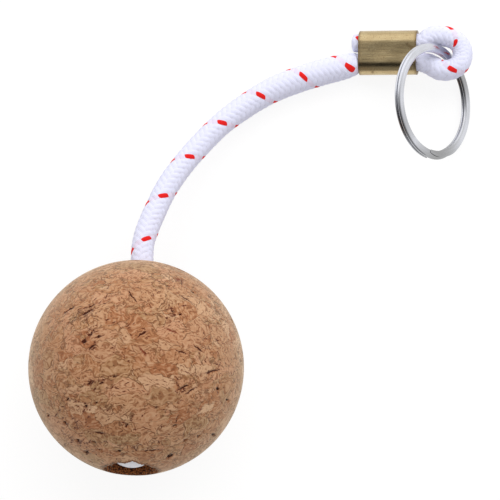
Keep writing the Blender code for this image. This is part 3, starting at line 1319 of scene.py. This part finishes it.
    def hollow_rows(self, rim: np.ndarray) -> Rows:
        """Down the recess, over its floor and up the bore.

        Args:
            rim: the radius of the recess rim at each column.

        Returns:
            Radius and height of each row.
        """
        ones = np.ones(self.columns)
        turns = self.turns()
        bore = self.bore_diameter / 2
        wall = self.recess_diameter / 2 - self.recess_taper / 4
        foot = self.recess_diameter / 2 - self.recess_taper
        floor = -self.recess_floor()
        edge = -self.mouth_distance(self.recess_diameter) + (rim - self.recess_diameter / 2) + TOUCH_GAP
        rows = [(wall * ones, edge)]
        for share in np.linspace(0, 1, self.wall_rows + 1)[1:]:
            first, second, third = (
                np.sin(waves * turns + twist * share) for waves, twist in self.wall_waves
            )
            crumbled = self.crumbled_wall * (first * second + third) * (1 - share)
            rows.append((wall + (foot - wall) * share + crumbled, edge + (floor - edge) * share))
        for share in np.linspace(0, 1, self.floor_rows + 1)[1:]:
            rows.append((foot + (bore - foot) * ones * share, floor * ones))
        top = self.mouth_distance(self.bore_diameter)
        for share in np.linspace(0, 1, self.bore_rows + 1)[1:-1]:
            rows.append((bore * ones, (floor + (top - floor) * share) * ones))
        return rows

    def build(self, material: bpy.types.Material) -> bpy.types.Object:
        """Build and dress the ball.

        Args:
            material: the pressed cork.

        Returns:
            The ball.
        """
        rim = self.rim()
        turns = self.turns()
        rows = self.shell_rows(rim)
        shell = len(rows)
        radius, height = np.array(rows + self.hollow_rows(rim)).transpose(1, 0, 2)
        points = np.stack([radius * np.cos(turns), radius * np.sin(turns), height], axis=-1)
        points = moved(points, axis_frame(self.direction(), Vector()))
        where, tone, sunk = self.lay_marks(points[:shell].reshape(-1, 3))
        shape = radius.shape
        # The first and last rows of the shell stay on the rims
        depth = np.zeros(shape)
        depth[1 : shell - 1] = sunk.reshape(shell, -1)[1:-1]
        points = points * (1 - depth / self.radius())[..., None] + np.array(self.centre())
        marks = np.full((*shape, 3), self.mark_reach)
        marks[:shell] = where.reshape(shell, -1, 3)
        tones = np.zeros(shape)
        tones[:shell] = tone.reshape(shell, -1)
        # Burnt cork and painted shade: all of the recess and bore, fading out over the surface just past
        # the rim
        scorch_and_shade = np.ones(shape)
        beyond = np.where(height < 0, (radius - rim) / self.scorched_and_shaded_rim, 1.0)
        scorch_and_shade[:shell] = np.clip(1 - beyond, 0, 1)[:shell]
        # The rows run the other way, so that the faces point out
        fields = {"mark": marks[::-1], "tone": tones[::-1], "scorch_and_shade": scorch_and_shade[::-1]}
        grid = GridSurface("pressed_cork_ball", points[::-1], fields=fields, joined_ends=True)
        return add_piece(grid.mesh(), material, Body.BALL_AND_ROPE, "cork_ball")


@dataclass
class Ferrule:
    """The pressed sleeve over the two strands of the rope."""

    length: float = 0.0142
    wall: float = 0.00055
    edge: float = 0.00015
    strand_gap: float = 0.0005
    pressed_diameter: float = 0.0043
    foot_place: tuple[float, float] = (0.02685, 0.0481)
    rise: float = math.radians(13.2)
    heading: float = math.radians(-0.8)
    arc_steps: int = 40
    flat_steps: int = 16
    edge_steps: int = 4
    wall_steps: int = 59

    # Slight dents: strength of each wave, its waves along and across, and its shift
    dent: float = 0.00002
    dent_waves: tuple = ((1.0, 7.3, 2.1, 0.6), (0.7, 13.1, -3.4, 0.0), (0.6, 0.0, 4.2, 1.9))
    # How far the flats sag between the strands
    sag: float = 0.00006

    # Dark ends, and dark spots on the upper side: millimetres from the foot, millimetres from the
    # middle towards the returning strand, and half size
    end_stain: float = 0.0007
    end_darkness: float = 0.8
    spot_darkness: float = 0.6
    spot_spread: float = 1.2
    stains: tuple = (
        (3.5, -4.8, 0.35),
        (12.1, 1.7, 0.45),
        (12.7, 1.2, 0.50),
        (13.3, 0.8, 0.70),
        (8.4, 0.2, 0.25),
    )

    def strand_offset(self) -> float:
        """From the sleeve's axis to the middle of each strand."""
        return self.pressed_diameter / 2 + self.strand_gap / 2

    def inner_radius(self) -> float:
        """The inner radius of the two round sides."""
        return self.pressed_diameter / 2 + TOUCH_GAP

    def outer_radius(self) -> float:
        """Half the sleeve's height."""
        return self.inner_radius() + self.wall

    def matrix(self) -> Matrix:
        """The frame at the foot: Z along the sleeve, X towards the returning strand, Y up.

        Returns:
            The frame.
        """
        height = self.outer_radius() * math.cos(self.rise) - self.edge * math.sin(self.rise)
        place = Vector((*self.foot_place, height)) + ROW_SHIFT
        return axis_frame(direction_of(self.rise, self.heading), place)

    def outline(self, radius: float, height: float) -> np.ndarray:
        """One closed outline with two round ends and two flats.

        Args:
            radius: half its width across the flats.
            height: how far along the sleeve it lies.

        Returns:
            Its points.
        """
        steps = np.arange(self.arc_steps + 1) * math.pi / self.arc_steps
        flat = np.linspace(1, -1, self.flat_steps + 1)[1:-1] * self.strand_offset()
        parts = []
        for side in (1, -1):
            angle = steps - side * math.pi / 2
            parts.append([side * self.strand_offset() + radius * np.cos(angle), radius * np.sin(angle)])
            parts.append([side * flat, np.full_like(flat, side * radius)])
        x, y = np.hstack(parts)
        return np.stack([x, y, np.full_like(x, height)], axis=-1)

    def stations(self) -> list[tuple[float, float]]:
        """Up the outside over rounded edges, then back inside.

        Returns:
            Outline radius and height of each row.
        """
        outer = self.outer_radius()
        inner = self.inner_radius()
        quarter = np.linspace(0, math.pi / 2, self.edge_steps + 1)
        rows = [(outer - self.edge * (1 - math.sin(q)), self.edge * (1 - math.cos(q))) for q in quarter]
        head = [(radius, self.length - height) for radius, height in reversed(rows)]
        middle = np.linspace(self.edge, self.length - self.edge, self.wall_steps + 1)[1:-1]
        rows += [(outer, height) for height in middle]
        return rows + head + [(inner, self.length - self.edge / 2), (inner, self.edge / 2)]

    def dents(self, points: np.ndarray) -> np.ndarray:
        """How far pressing has pushed the wall in or out.

        Args:
            points: points of the sleeve in its own frame.

        Returns:
            The push at each point, outwards.
        """
        x = points[..., 0] / self.pressed_diameter
        z = points[..., 2] / self.length
        waves = sum(most * np.sin(up * z + side * x + shift) for most, up, side, shift in self.dent_waves)
        between = np.clip(1 - (points[..., 0] / self.strand_offset()) ** 2, 0, 1)
        return self.dent * waves - self.sag * between**2

    def stain(self, points: np.ndarray) -> np.ndarray:
        """How stained the brass is.

        Args:
            points: points of the sleeve in its own frame.

        Returns:
            The share at each point, most in the dark spots and along the two ends.
        """
        end = np.minimum(points[..., 2], self.length - points[..., 2])
        share = self.end_darkness * np.clip(1 - end / self.end_stain, 0, 1)
        upper = points[..., 1] > 0
        for along, aside, half in self.stains:
            offset = np.hypot(points[..., 2] - along / MM_PER_M, points[..., 0] - aside / MM_PER_M)
            spot = np.clip(self.spot_spread - offset / (half / MM_PER_M), 0, self.spot_darkness)
            share = np.maximum(share, spot * upper)
        return share

    def build(self, material: bpy.types.Material) -> bpy.types.Object:
        """Build and dress the sleeve.

        Args:
            material: the dull brass.

        Returns:
            The sleeve.
        """
        points = np.array([self.outline(radius, height) for radius, height in self.stations()])
        fields = {"stain": self.stain(points)}
        up = np.concatenate([points[..., 2], points[:, :1, 2]], axis=1)
        uv = MM_PER_M * np.stack([lengths_around(points), up], axis=-1)
        # The closing row of the inside joins the first row again
        uv = np.concatenate([uv, uv[:1]])
        points[..., 1] += self.dents(points) * np.sign(points[..., 1])
        points = moved(points, self.matrix())
        grid = GridSurface("pressed_brass_sleeve", points, uv, fields, joined_ends=True)
        return add_piece(grid.mesh(), material, Body.BALL_AND_ROPE, "ferrule")


@dataclass
class SplitRing:
    """Flat steel wire wound twice round."""

    diameter: float = 0.028
    windings: int = 2
    wire_width: float = 0.0021
    wire_thickness: float = 0.0007
    coil_gap: float = 0.0001
    wire_edge: float = 0.00018
    squareness: float = 2.8
    section_points: int = 44
    tilt: float = math.radians(46.65)
    heading: float = math.radians(3.2)
    thread_point: tuple[float, float, float] = (0.04655, 0.0479, 0.00717)
    crossing_start: float = math.radians(247)
    crossing_end: float = math.radians(296)
    tip_start: float = math.radians(256)
    tip_width_share: float = 0.35
    tip_thickness: float = 0.00005
    tip_fullness: float = 0.7
    step: float = math.radians(0.5)

    # Stretches of painted shade, which stand in for dark reflections and shade near the loop: middle and
    # half width in degrees round the ring, and how dark
    painted_shade_stretches: tuple = (
        (272, 44, 0.78),
        (24, 26, 0.75),
        (204, 24, 0.45),
    )

    def mid_radius(self) -> float:
        """From the ring's axis to the middle of its wire."""
        return self.diameter / 2 - self.wire_width / 2

    def matrix(self) -> Matrix:
        """The ring's frame: Z its axis, X downhill.

        Returns:
            The frame, with the ring's low edge on the floor and its wire through the thread point.
        """
        axis = direction_of(math.pi / 2 - self.tilt, self.heading)
        downhill = direction_of(-self.tilt, self.heading)
        across = axis.cross(downhill)
        low_corner = self.wire_thickness + self.coil_gap / 2 - self.wire_edge
        height = self.diameter / 2 * math.sin(self.tilt) + low_corner * math.cos(self.tilt)
        thread = Vector(self.thread_point)
        along = (height - thread.z) / math.sin(self.tilt)
        sideways = math.sqrt(self.mid_radius() ** 2 - along**2)
        centre = thread - along * downhill - sideways * across + ROW_SHIFT
        return Matrix.Translation(centre) @ Matrix((downhill, across, axis)).transposed().to_4x4()

    def section(self) -> tuple[np.ndarray, np.ndarray]:
        """The wire's outline: flat with crowned faces.

        Returns:
            Places as shares of half the wire's width and of half its thickness.
        """
        angle = np.arange(self.section_points) * 2 * math.pi / self.section_points
        power = 2 / self.squareness
        return tuple(np.sign(part) * np.abs(part) ** power for part in (np.cos(angle), np.sin(angle)))

    def descent(self, angle: np.ndarray, start: float) -> np.ndarray:
        """A coil's middle as it goes down from upper to lower over the crossing.

        Args:
            angle: places round the ring.
            start: where the crossing starts.

        Returns:
            The level at each place.
        """
        crossing = self.crossing_end - self.crossing_start
        progress = np.clip((angle - start) / crossing, 0, 1)
        upper = (self.wire_thickness + self.coil_gap) / 2
        return upper * (1 - 2 * progress**2 * (3 - 2 * progress))

    def painted_shade(self, angle: np.ndarray) -> np.ndarray:
        """How far painted shade darkens the wire.

        Args:
            angle: places round the ring.

        Returns:
            The share at each place.
        """
        share = np.zeros_like(angle)
        for middle, half_width, most in self.painted_shade_stretches:
            apart = np.remainder(angle - math.radians(middle) + math.pi, 2 * math.pi) - math.pi
            fade = np.clip(apart / math.radians(half_width), -1, 1)
            share = np.maximum(share, most * np.cos(fade * math.pi / 2))
        return share

    def build(self, material: bpy.types.Material) -> bpy.types.Object:
        """Build and dress the ring: its upper end is a tip that thins out over the crossing.

        Args:
            material: the drawn steel.

        Returns:
            The ring.
        """
        winding = self.windings * 2 * math.pi
        angle = self.tip_start + np.linspace(0, winding, round(winding / self.step) + 1)
        level = self.descent(angle, self.crossing_start + 2 * math.pi)
        thickness = np.full_like(angle, self.wire_thickness)
        top = self.wire_thickness + self.coil_gap / 2
        tip = angle < self.crossing_end
        below = self.descent(angle[tip], self.crossing_start)
        room = top - self.coil_gap - (below + self.wire_thickness / 2)
        thickness[tip] = np.clip(room, self.tip_thickness, self.wire_thickness)
        level[tip] = top - thickness[tip] / 2
        widening = np.clip((angle - self.tip_start) / (self.crossing_end - self.tip_start), 0, 1)
        share = self.tip_width_share + (1 - self.tip_width_share) * widening**self.tip_fullness
        width = self.wire_width * share
        radial, axial = self.section()
        inner = self.mid_radius() - self.wire_width / 2
        radius = inner + width[:, None] / 2 * (1 + radial[None, :])
        height = level[:, None] + thickness[:, None] / 2 * axial[None, :]
        turn = angle[:, None]
        points = np.stack([radius * np.cos(turn), radius * np.sin(turn), height], axis=-1)
        around = lengths_around(points)
        along = np.broadcast_to(turn * self.mid_radius(), around.shape)
        uv = MM_PER_M * np.stack([around, along], axis=-1)
        fields = {"painted_shade": np.broadcast_to(self.painted_shade(turn), radius.shape)}
        grid = GridSurface("wound_split_ring", moved(points, self.matrix()), uv, fields)
        return add_piece(grid.mesh(), material, Body.RING, "split_ring")


@dataclass
class BraidedRope:
    """One length of round braid, from its sealed stop in the ball to its cut stub at the ferrule."""

    ball: CorkBall
    ferrule: Ferrule
    diameter: float = 0.0054
    usual_diameter: float = 0.0056
    columns: int = 112
    shown_step: float = 0.00022
    hidden_step: float = 0.0010
    # From where to where along the rope the ball and the ferrule hide it
    hidden_stretches: tuple = ((0.0105, 0.0490), (0.1300, 0.1412), (0.1720, 0.1815))
    path_step: int = 4

    # Relief of the strands, and how far below their tops the rope's own surface lies
    wave: float = 0.00009
    bulge: float = 0.00015
    wave_middle: float = 0.7
    # Slight swelling, as a share of the radius, with its two waves in radians to a millimetre
    swell: float = 0.010
    swell_waves: tuple[float, float] = (0.9, 0.37)

    # The swollen end in the ball's recess: shares of its length and of its greatest diameter
    stop_diameter: float = 0.0088
    stop_shape: tuple = ((1.00, 0.36), (0.93, 0.68), (0.80, 0.90), (0.60, 1.00), (0.38, 0.98), (0.18, 0.84))
    sealed_length: float = 0.0016
    seared_length: float = 0.0003

    # Places in the bore as shares of the way down to the recess floor, then out of the ball
    bore_shares: tuple = (0.66, 0.0, -0.66, -1.2)
    exit_reaches: tuple = (0.0, 0.0050)

    # The strand as the ferrule takes it in and lets it go: distances and diameters
    squeeze: float = 0.0002
    foot_reach: float = 0.0009
    foot_diameter: float = 0.0050
    head_reach: float = 0.0010
    head_diameter: float = 0.0047

    # The cut end: its length, its diameter, and shares of both along it
    stub_length: float = 0.0019
    stub_diameter: float = 0.0045
    stub_shape: tuple = ((0.5, 1.0), (0.85, 0.9), (1.0, 0.55))

    free_route: tuple = (
        (-0.0244, 0.0050, 0.0142, 0.0055),
        (-0.0225, 0.0097, 0.0125, 0.0055),
        (-0.0199, 0.0151, 0.0106, 0.0055),
        (-0.0162, 0.0205, 0.0086, 0.0055),
        (-0.0117, 0.0258, 0.0068, 0.0055),
        (-0.0066, 0.0309, 0.0053, 0.0056),
        (-0.0009, 0.0352, 0.0041, 0.0059),
        (0.0052, 0.0389, 0.0035, 0.0062),
        (0.0116, 0.0415, 0.0033, 0.0064),
        (0.0177, 0.0434, 0.0033, 0.0064),
        (0.0228, 0.0447, 0.0033, 0.0063),
        (0.0246, 0.0452, 0.0031, 0.0058),
    )
    loop_route: tuple = (
        (0.0436, 0.0450, 0.0063, 0.0050),
        (0.0460, 0.0436, 0.0072, 0.0051),
        (0.0486, 0.0436, 0.0080, 0.0050),
        (0.0506, 0.0449, 0.0082, 0.0049),
        (0.0514, 0.0471, 0.0077, 0.0048),
        (0.0510, 0.0493, 0.0073, 0.0048),
        (0.0494, 0.0510, 0.0070, 0.0049),
        (0.0470, 0.0518, 0.0067, 0.0050),
        (0.0444, 0.0518, 0.0064, 0.0050),
        (0.0423, 0.0506, 0.0063, 0.0048),
    )
    # Where the tracer crosses the rope's top: millimetres along it, turns made, degrees off the top
    tracer_places: tuple = (
        (0.0, -4.67, 15.0),
        (54.30, 0.0, 15.0),
        (66.05, 1.0, 8.0),
        (78.10, 2.0, 3.0),
        (89.95, 3.0, 1.0),
        (101.85, 4.0, 0.0),
        (113.40, 5.0, -2.0),
        (124.50, 6.0, 16.0),
        (151.35, 8.0, 6.0),
        (159.10, 9.0, -26.0),
        (183.80, 11.0, 27.0),
        (196.00, 12.0, 10.0),
    )

    def stop_knots(self) -> list[tuple[float, float]]:
        """The swollen end.

        Returns:
            Distances beyond the recess floor, and diameters.
        """
        length = self.ball.recess_depth - 3 * TOUCH_GAP
        knots = [(length * share, self.stop_diameter * width) for share, width in self.stop_shape]
        return knots + [(TOUCH_GAP, self.diameter)]

    def bored_knots(self) -> list[tuple]:
        """The rope from its stop, up the bore and just out of the ball.

        Returns:
            Points of x, y, z and diameter.
        """
        centre = self.ball.centre()
        direction = self.ball.direction()
        floor = self.ball.recess_floor()
        knots = [(*(centre - direction * (floor + beyond)), wide) for beyond, wide in self.stop_knots()]
        for share in self.bore_shares:
            knots.append((*(centre - direction * (floor * share)), self.diameter))
        for beyond in self.exit_reaches:
            knots.append((*(centre + direction * (self.ball.radius() + beyond)), self.diameter))
        return knots

    def strand_knots(self, side: int, stations: tuple) -> list[tuple]:
        """One strand through the ferrule.

        Args:
            side: 1 for the returning strand, -1 for the incoming one.
            stations: distances past the ferrule's foot, and diameters.

        Returns:
            Points of x, y, z and diameter.
        """
        matrix = self.ferrule.matrix()
        offset = side * self.ferrule.strand_offset()
        return [(*(matrix @ Vector((offset, 0, distance))), wide) for distance, wide in stations]

    def knots(self) -> np.ndarray:
        """The whole route: stop, bore, free stretch, ferrule, loop, ferrule again and stub.

        Returns:
            Points of x, y, z and diameter.
        """
        head = self.ferrule.length
        pressed = (self.squeeze, head / 2, head - self.squeeze)
        squeezed = [(place, self.ferrule.pressed_diameter) for place in pressed]
        foot = (-self.foot_reach, self.foot_diameter)
        incoming = (foot, *squeezed, (head + self.head_reach, self.head_diameter))
        stub = [(-self.stub_length * reach, self.stub_diameter * wide) for reach, wide in self.stub_shape]
        shift = np.array([*ROW_SHIFT, 0.0])
        return np.vstack(
            [
                np.array(self.bored_knots()),
                np.array(self.free_route) + shift,
                np.array(self.strand_knots(-1, incoming)),
                np.array(self.loop_route) + shift,
                np.array(self.strand_knots(1, (*reversed(squeezed), *stub))),
            ]
        )

    def rows_along(self, length: float) -> np.ndarray:
        """Where each ring of points lies, far apart where the rope is hidden.

        Args:
            length: the rope's length.

        Returns:
            Distances along the rope.
        """
        places = [0.0]
        while places[-1] < length:
            here = places[-1]
            covered = any(low < here < high for low, high in self.hidden_stretches)
            places.append(here + (self.hidden_step if covered else self.shown_step))
        places[-1] = length
        return np.array(places)

    def lay(self, places: np.ndarray, share: np.ndarray) -> tuple[np.ndarray, np.ndarray]:
        """The braid's lay, turned so that the tracer crosses the top where it does in the photograph.

        Args:
            places: distances along the rope.
            share: shares of the way round it.

        Returns:
            Turns round and turns along, for each place and share.
        """
        marks = np.array(self.tracer_places)
        turns = np.interp(places * MM_PER_M, marks[:, 0], marks[:, 1])
        off_top = np.interp(places * MM_PER_M, marks[:, 0], marks[:, 2])
        # The middle of the tracer's float is half a strand across its own lay
        top = STRAND_TOPS[0]
        middle_round = (top + 0.5) / (2 * CARRIERS)
        middle_along = (top - 0.5) / (2 * CARRIERS)
        lay_round = share[None, :] + (middle_round - off_top / 360)[:, None]
        return lay_round, np.broadcast_to((turns + middle_along)[:, None], lay_round.shape)

    def relief(self, lay_round: np.ndarray, lay_along: np.ndarray) -> np.ndarray:
        """The strand on top, two over and two under.

        Args:
            lay_round: turns round.
            lay_along: turns along.

        Returns:
            How far it stands over the braid's middle.
        """
        lay_a = CARRIERS * (lay_round - lay_along)
        lay_b = CARRIERS * (lay_round + lay_along)
        heights = []
        for across, along, top in zip((lay_a, lay_b), (lay_b, lay_a), STRAND_TOPS):
            index = np.floor(across)
            side = 2 * (across - index - 0.5)
            swing = np.cos((along + index - top) * math.pi / 2)
            heights.append(self.wave * swing + self.bulge * np.sqrt(np.maximum(1 - side**2, 0)))
        return np.maximum(*heights)

    def melt(self, places: np.ndarray) -> np.ndarray:
        """1 where the yarn is melted smooth: the face of the stop and the very end of the stub.

        Args:
            places: distances along the rope.

        Returns:
            The share at each place.
        """
        stop = np.clip((self.sealed_length - places) / (self.sealed_length / 2), 0, 1)
        stub = np.clip((places - (places[-1] - self.seared_length)) / self.seared_length, 0, 1)
        return np.maximum(stop, stub)

    def spread(self, centre: np.ndarray, reach: np.ndarray, angle: np.ndarray) -> np.ndarray:
        """Rings of points round a centreline.

        Args:
            centre: the centreline's points.
            reach: how far from it each point of each ring lies.
            angle: the angle of each column from the top.

        Returns:
            The points.
        """
        ahead = np.gradient(centre, axis=0)
        ahead /= np.linalg.norm(ahead, axis=1)[:, None]
        up = np.array([0.0, 0.0, 1.0]) - ahead * ahead[:, 2:]
        up /= np.linalg.norm(up, axis=1)[:, None]
        right = np.cross(ahead, up)
        upwards = np.cos(angle)[None, :, None] * up[:, None, :]
        sideways = np.sin(angle)[None, :, None] * right[:, None, :]
        return centre[:, None, :] + reach[..., None] * (upwards + sideways)

    def build(self, material: bpy.types.Material) -> bpy.types.Object:
        """Args:
            material: the braid.

        Returns:
            The rope.
        """
        points, along = SmoothRoute(self.knots()).sampled()
        places = self.rows_along(along[-1])
        centre = np.stack([np.interp(places, along, points[:, k]) for k in range(3)], axis=-1)
        radius = np.interp(places, along, points[:, 3]) / 2
        share = np.arange(self.columns + 1) / self.columns
        lay_round, lay_along = self.lay(places, share)
        melt = self.melt(places)
        relief = self.relief(lay_round[:, :-1], lay_along[:, :-1])
        relief = relief - self.wave * self.wave_middle - self.bulge
        first, second = (np.sin(places * MM_PER_M * wave) for wave in self.swell_waves)
        radius = radius * (1 + self.swell * first * second)
        reach = radius[:, None] + relief * (1 - melt)[:, None]
        surface = self.spread(centre, reach, 2 * math.pi * share[:-1])
        uv = np.stack([lay_round, lay_along], axis=-1)
        fields = {"melt": np.broadcast_to(melt[:, None], reach.shape)}
        mesh = GridSurface("braided_rope", surface, uv, fields).mesh()
        rope = add_piece(mesh, material, Body.BALL_AND_ROPE, "rope")
        return rope


@dataclass
class Studio:
    """White floor, one large softbox, a soft sky and the camera that looks straight down."""

    camera_height: float = 0.461
    focal_length: float = 135.0
    sensor: float = 36.0
    nearest: float = 0.01

    softbox_place: tuple[float, float, float] = (0.18, 0.92, 0.80)
    softbox_size: tuple[float, float] = (1.5, 1.1)
    softbox_power: float = 11.8

    # The floor as light finds it, and as it shows: mostly its own glow, so that its shadow is faint
    floor_half: float = 3.0
    floor_grey: float = 0.84
    shown_grey: float = 0.20
    shown_glow: float = 0.84

    # The sky's even light, and the strengths of its shown parts with where they start and end
    fill: float = 0.64
    far_limits: Limits = (0.07, 0.43)
    overhead: Limits = (0.335, 1.27)
    near_limits: Limits = (-0.17, -0.01)
    low_near_limits: Limits = (0.76, 0.54)
    behind: Limits = (0.03, 0.30)
    horizon_limits: Limits = (0.20, 0.08)
    low_limits: Limits = (-0.40, 0.10)
    low_sky: Limits = (0.36, 1.0)

    def build(self) -> None:
        """Set up camera, floor, world and softbox."""
        bpy.context.scene.view_settings.view_transform = "Standard"
        self.build_camera()
        self.build_floor()
        self.build_world()
        self.build_softbox()

    def build_camera(self) -> None:
        """The camera over the layout's origin."""
        data = bpy.data.cameras.new("camera")
        data.lens = self.focal_length
        data.sensor_width = self.sensor
        data.clip_start = self.nearest
        camera = bpy.data.objects.new("camera", data)
        camera.location = Vector((0, 0, self.camera_height)) + ROW_SHIFT
        bpy.context.scene.collection.objects.link(camera)
        bpy.context.scene.camera = camera

    def build_softbox(self) -> None:
        """One large area lamp that faces the keychain."""
        data = bpy.data.lights.new("softbox", "AREA")
        data.shape = "RECTANGLE"
        data.size, data.size_y = self.softbox_size
        data.energy = self.softbox_power
        lamp = bpy.data.objects.new("softbox", data)
        lamp.location = self.softbox_place
        lamp.rotation_euler = (-lamp.location).to_track_quat("-Z", "Y").to_euler()
        lamp.visible_camera = False
        lamp.visible_glossy = False
        bpy.context.scene.collection.objects.link(lamp)

    def shown(self, bench: Bench) -> Socket:
        """1 for rays that show the background, 0 for those that only carry light.

        Args:
            bench: the bench of the floor or the world.

        Returns:
            The share.
        """
        path = bench.add("LightPath")
        sharp = bench.math("MAXIMUM", path.outputs["Is Camera Ray"], path.outputs["Is Glossy Ray"])
        return bench.math("MAXIMUM", sharp, path.outputs["Is Transmission Ray"])

    def build_floor(self) -> None:
        """A wide floor that shows white and keeps a faint shadow."""
        half = self.floor_half
        mesh = bpy.data.meshes.new("floor")
        corners = [(-half, -half, 0), (half, -half, 0), (half, half, 0), (-half, half, 0)]
        mesh.from_pydata(corners, [], [(0, 1, 2, 3)])
        floor = bpy.data.objects.new("floor", mesh)
        bpy.context.scene.collection.objects.link(floor)
        material = bpy.data.materials.new("floor")
        material.use_nodes = True
        tree = material.node_tree
        tree.nodes.remove(tree.nodes["Principled BSDF"])
        bench = Bench(tree)
        plain = bench.add("BsdfDiffuse", {"Color": (self.floor_grey,) * 3})
        faint = bench.add("BsdfDiffuse", {"Color": (self.shown_grey,) * 3})
        glow = bench.add("Emission", {"Color": (1.0, 1.0, 1.0), "Strength": self.shown_glow})
        lit = bench.add("AddShader", {0: faint.outputs[0], 1: glow.outputs[0]})
        mixed = bench.add("MixShader", {0: self.shown(bench), 1: plain.outputs[0], 2: lit.outputs[0]})
        bench.feed(tree.nodes["Material Output"].inputs["Surface"], mixed.outputs[0])
        mesh.materials.append(material)

    def build_world(self) -> None:
        """A sky that shows white at the horizon, and above it the bright and dark parts of a studio."""
        world = bpy.data.worlds.new("studio")
        bpy.context.scene.world = world
        world.use_nodes = True
        bench = Bench(world.node_tree)
        _, north, height = bench.split(bench.add("TexCoord").outputs["Generated"])
        # Towards the softbox the studio is bright, over the camera grey, and behind it dark
        overhead = bench.between(bench.ramp(north, self.far_limits), *self.overhead)
        behind = bench.between(bench.ramp(height, self.low_near_limits), *self.behind)
        near_side = bench.minus(1.0, bench.ramp(north, self.near_limits))
        sky = bench.between(near_side, overhead, behind)
        low_sky = bench.between(bench.ramp(north, self.low_limits), *self.low_sky)
        backdrop = bench.between(bench.ramp(height, self.horizon_limits), sky, low_sky)
        strength = bench.between(self.shown(bench), self.fill, backdrop)
        inputs = {"Color": (1.0, 1.0, 1.0), "Strength": strength}
        bench.fill(world.node_tree.nodes["Background"], inputs)


def main() -> None:
    """Build every piece in order."""
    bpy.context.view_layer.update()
    Studio().build()
    effects = Effects(mottle_group(), streaks_group())
    ball = CorkBall()
    ferrule = Ferrule()
    pieces = [BraidedRope(ball, ferrule).build(RopeFinish().material(effects))]
    pieces.append(ball.build(CorkFinish().material(effects)))
    pieces.append(ferrule.build(BrassFinish().material(effects)))
    pieces.append(SplitRing().build(SteelFinish().material(effects)))
    for piece in pieces:
        log.info("%s: %d faces", piece.name, len(piece.data.polygons))


if __name__ == "__main__":
    logging.basicConfig(level=logging.INFO, format="%(name)s: %(message)s")
    main()
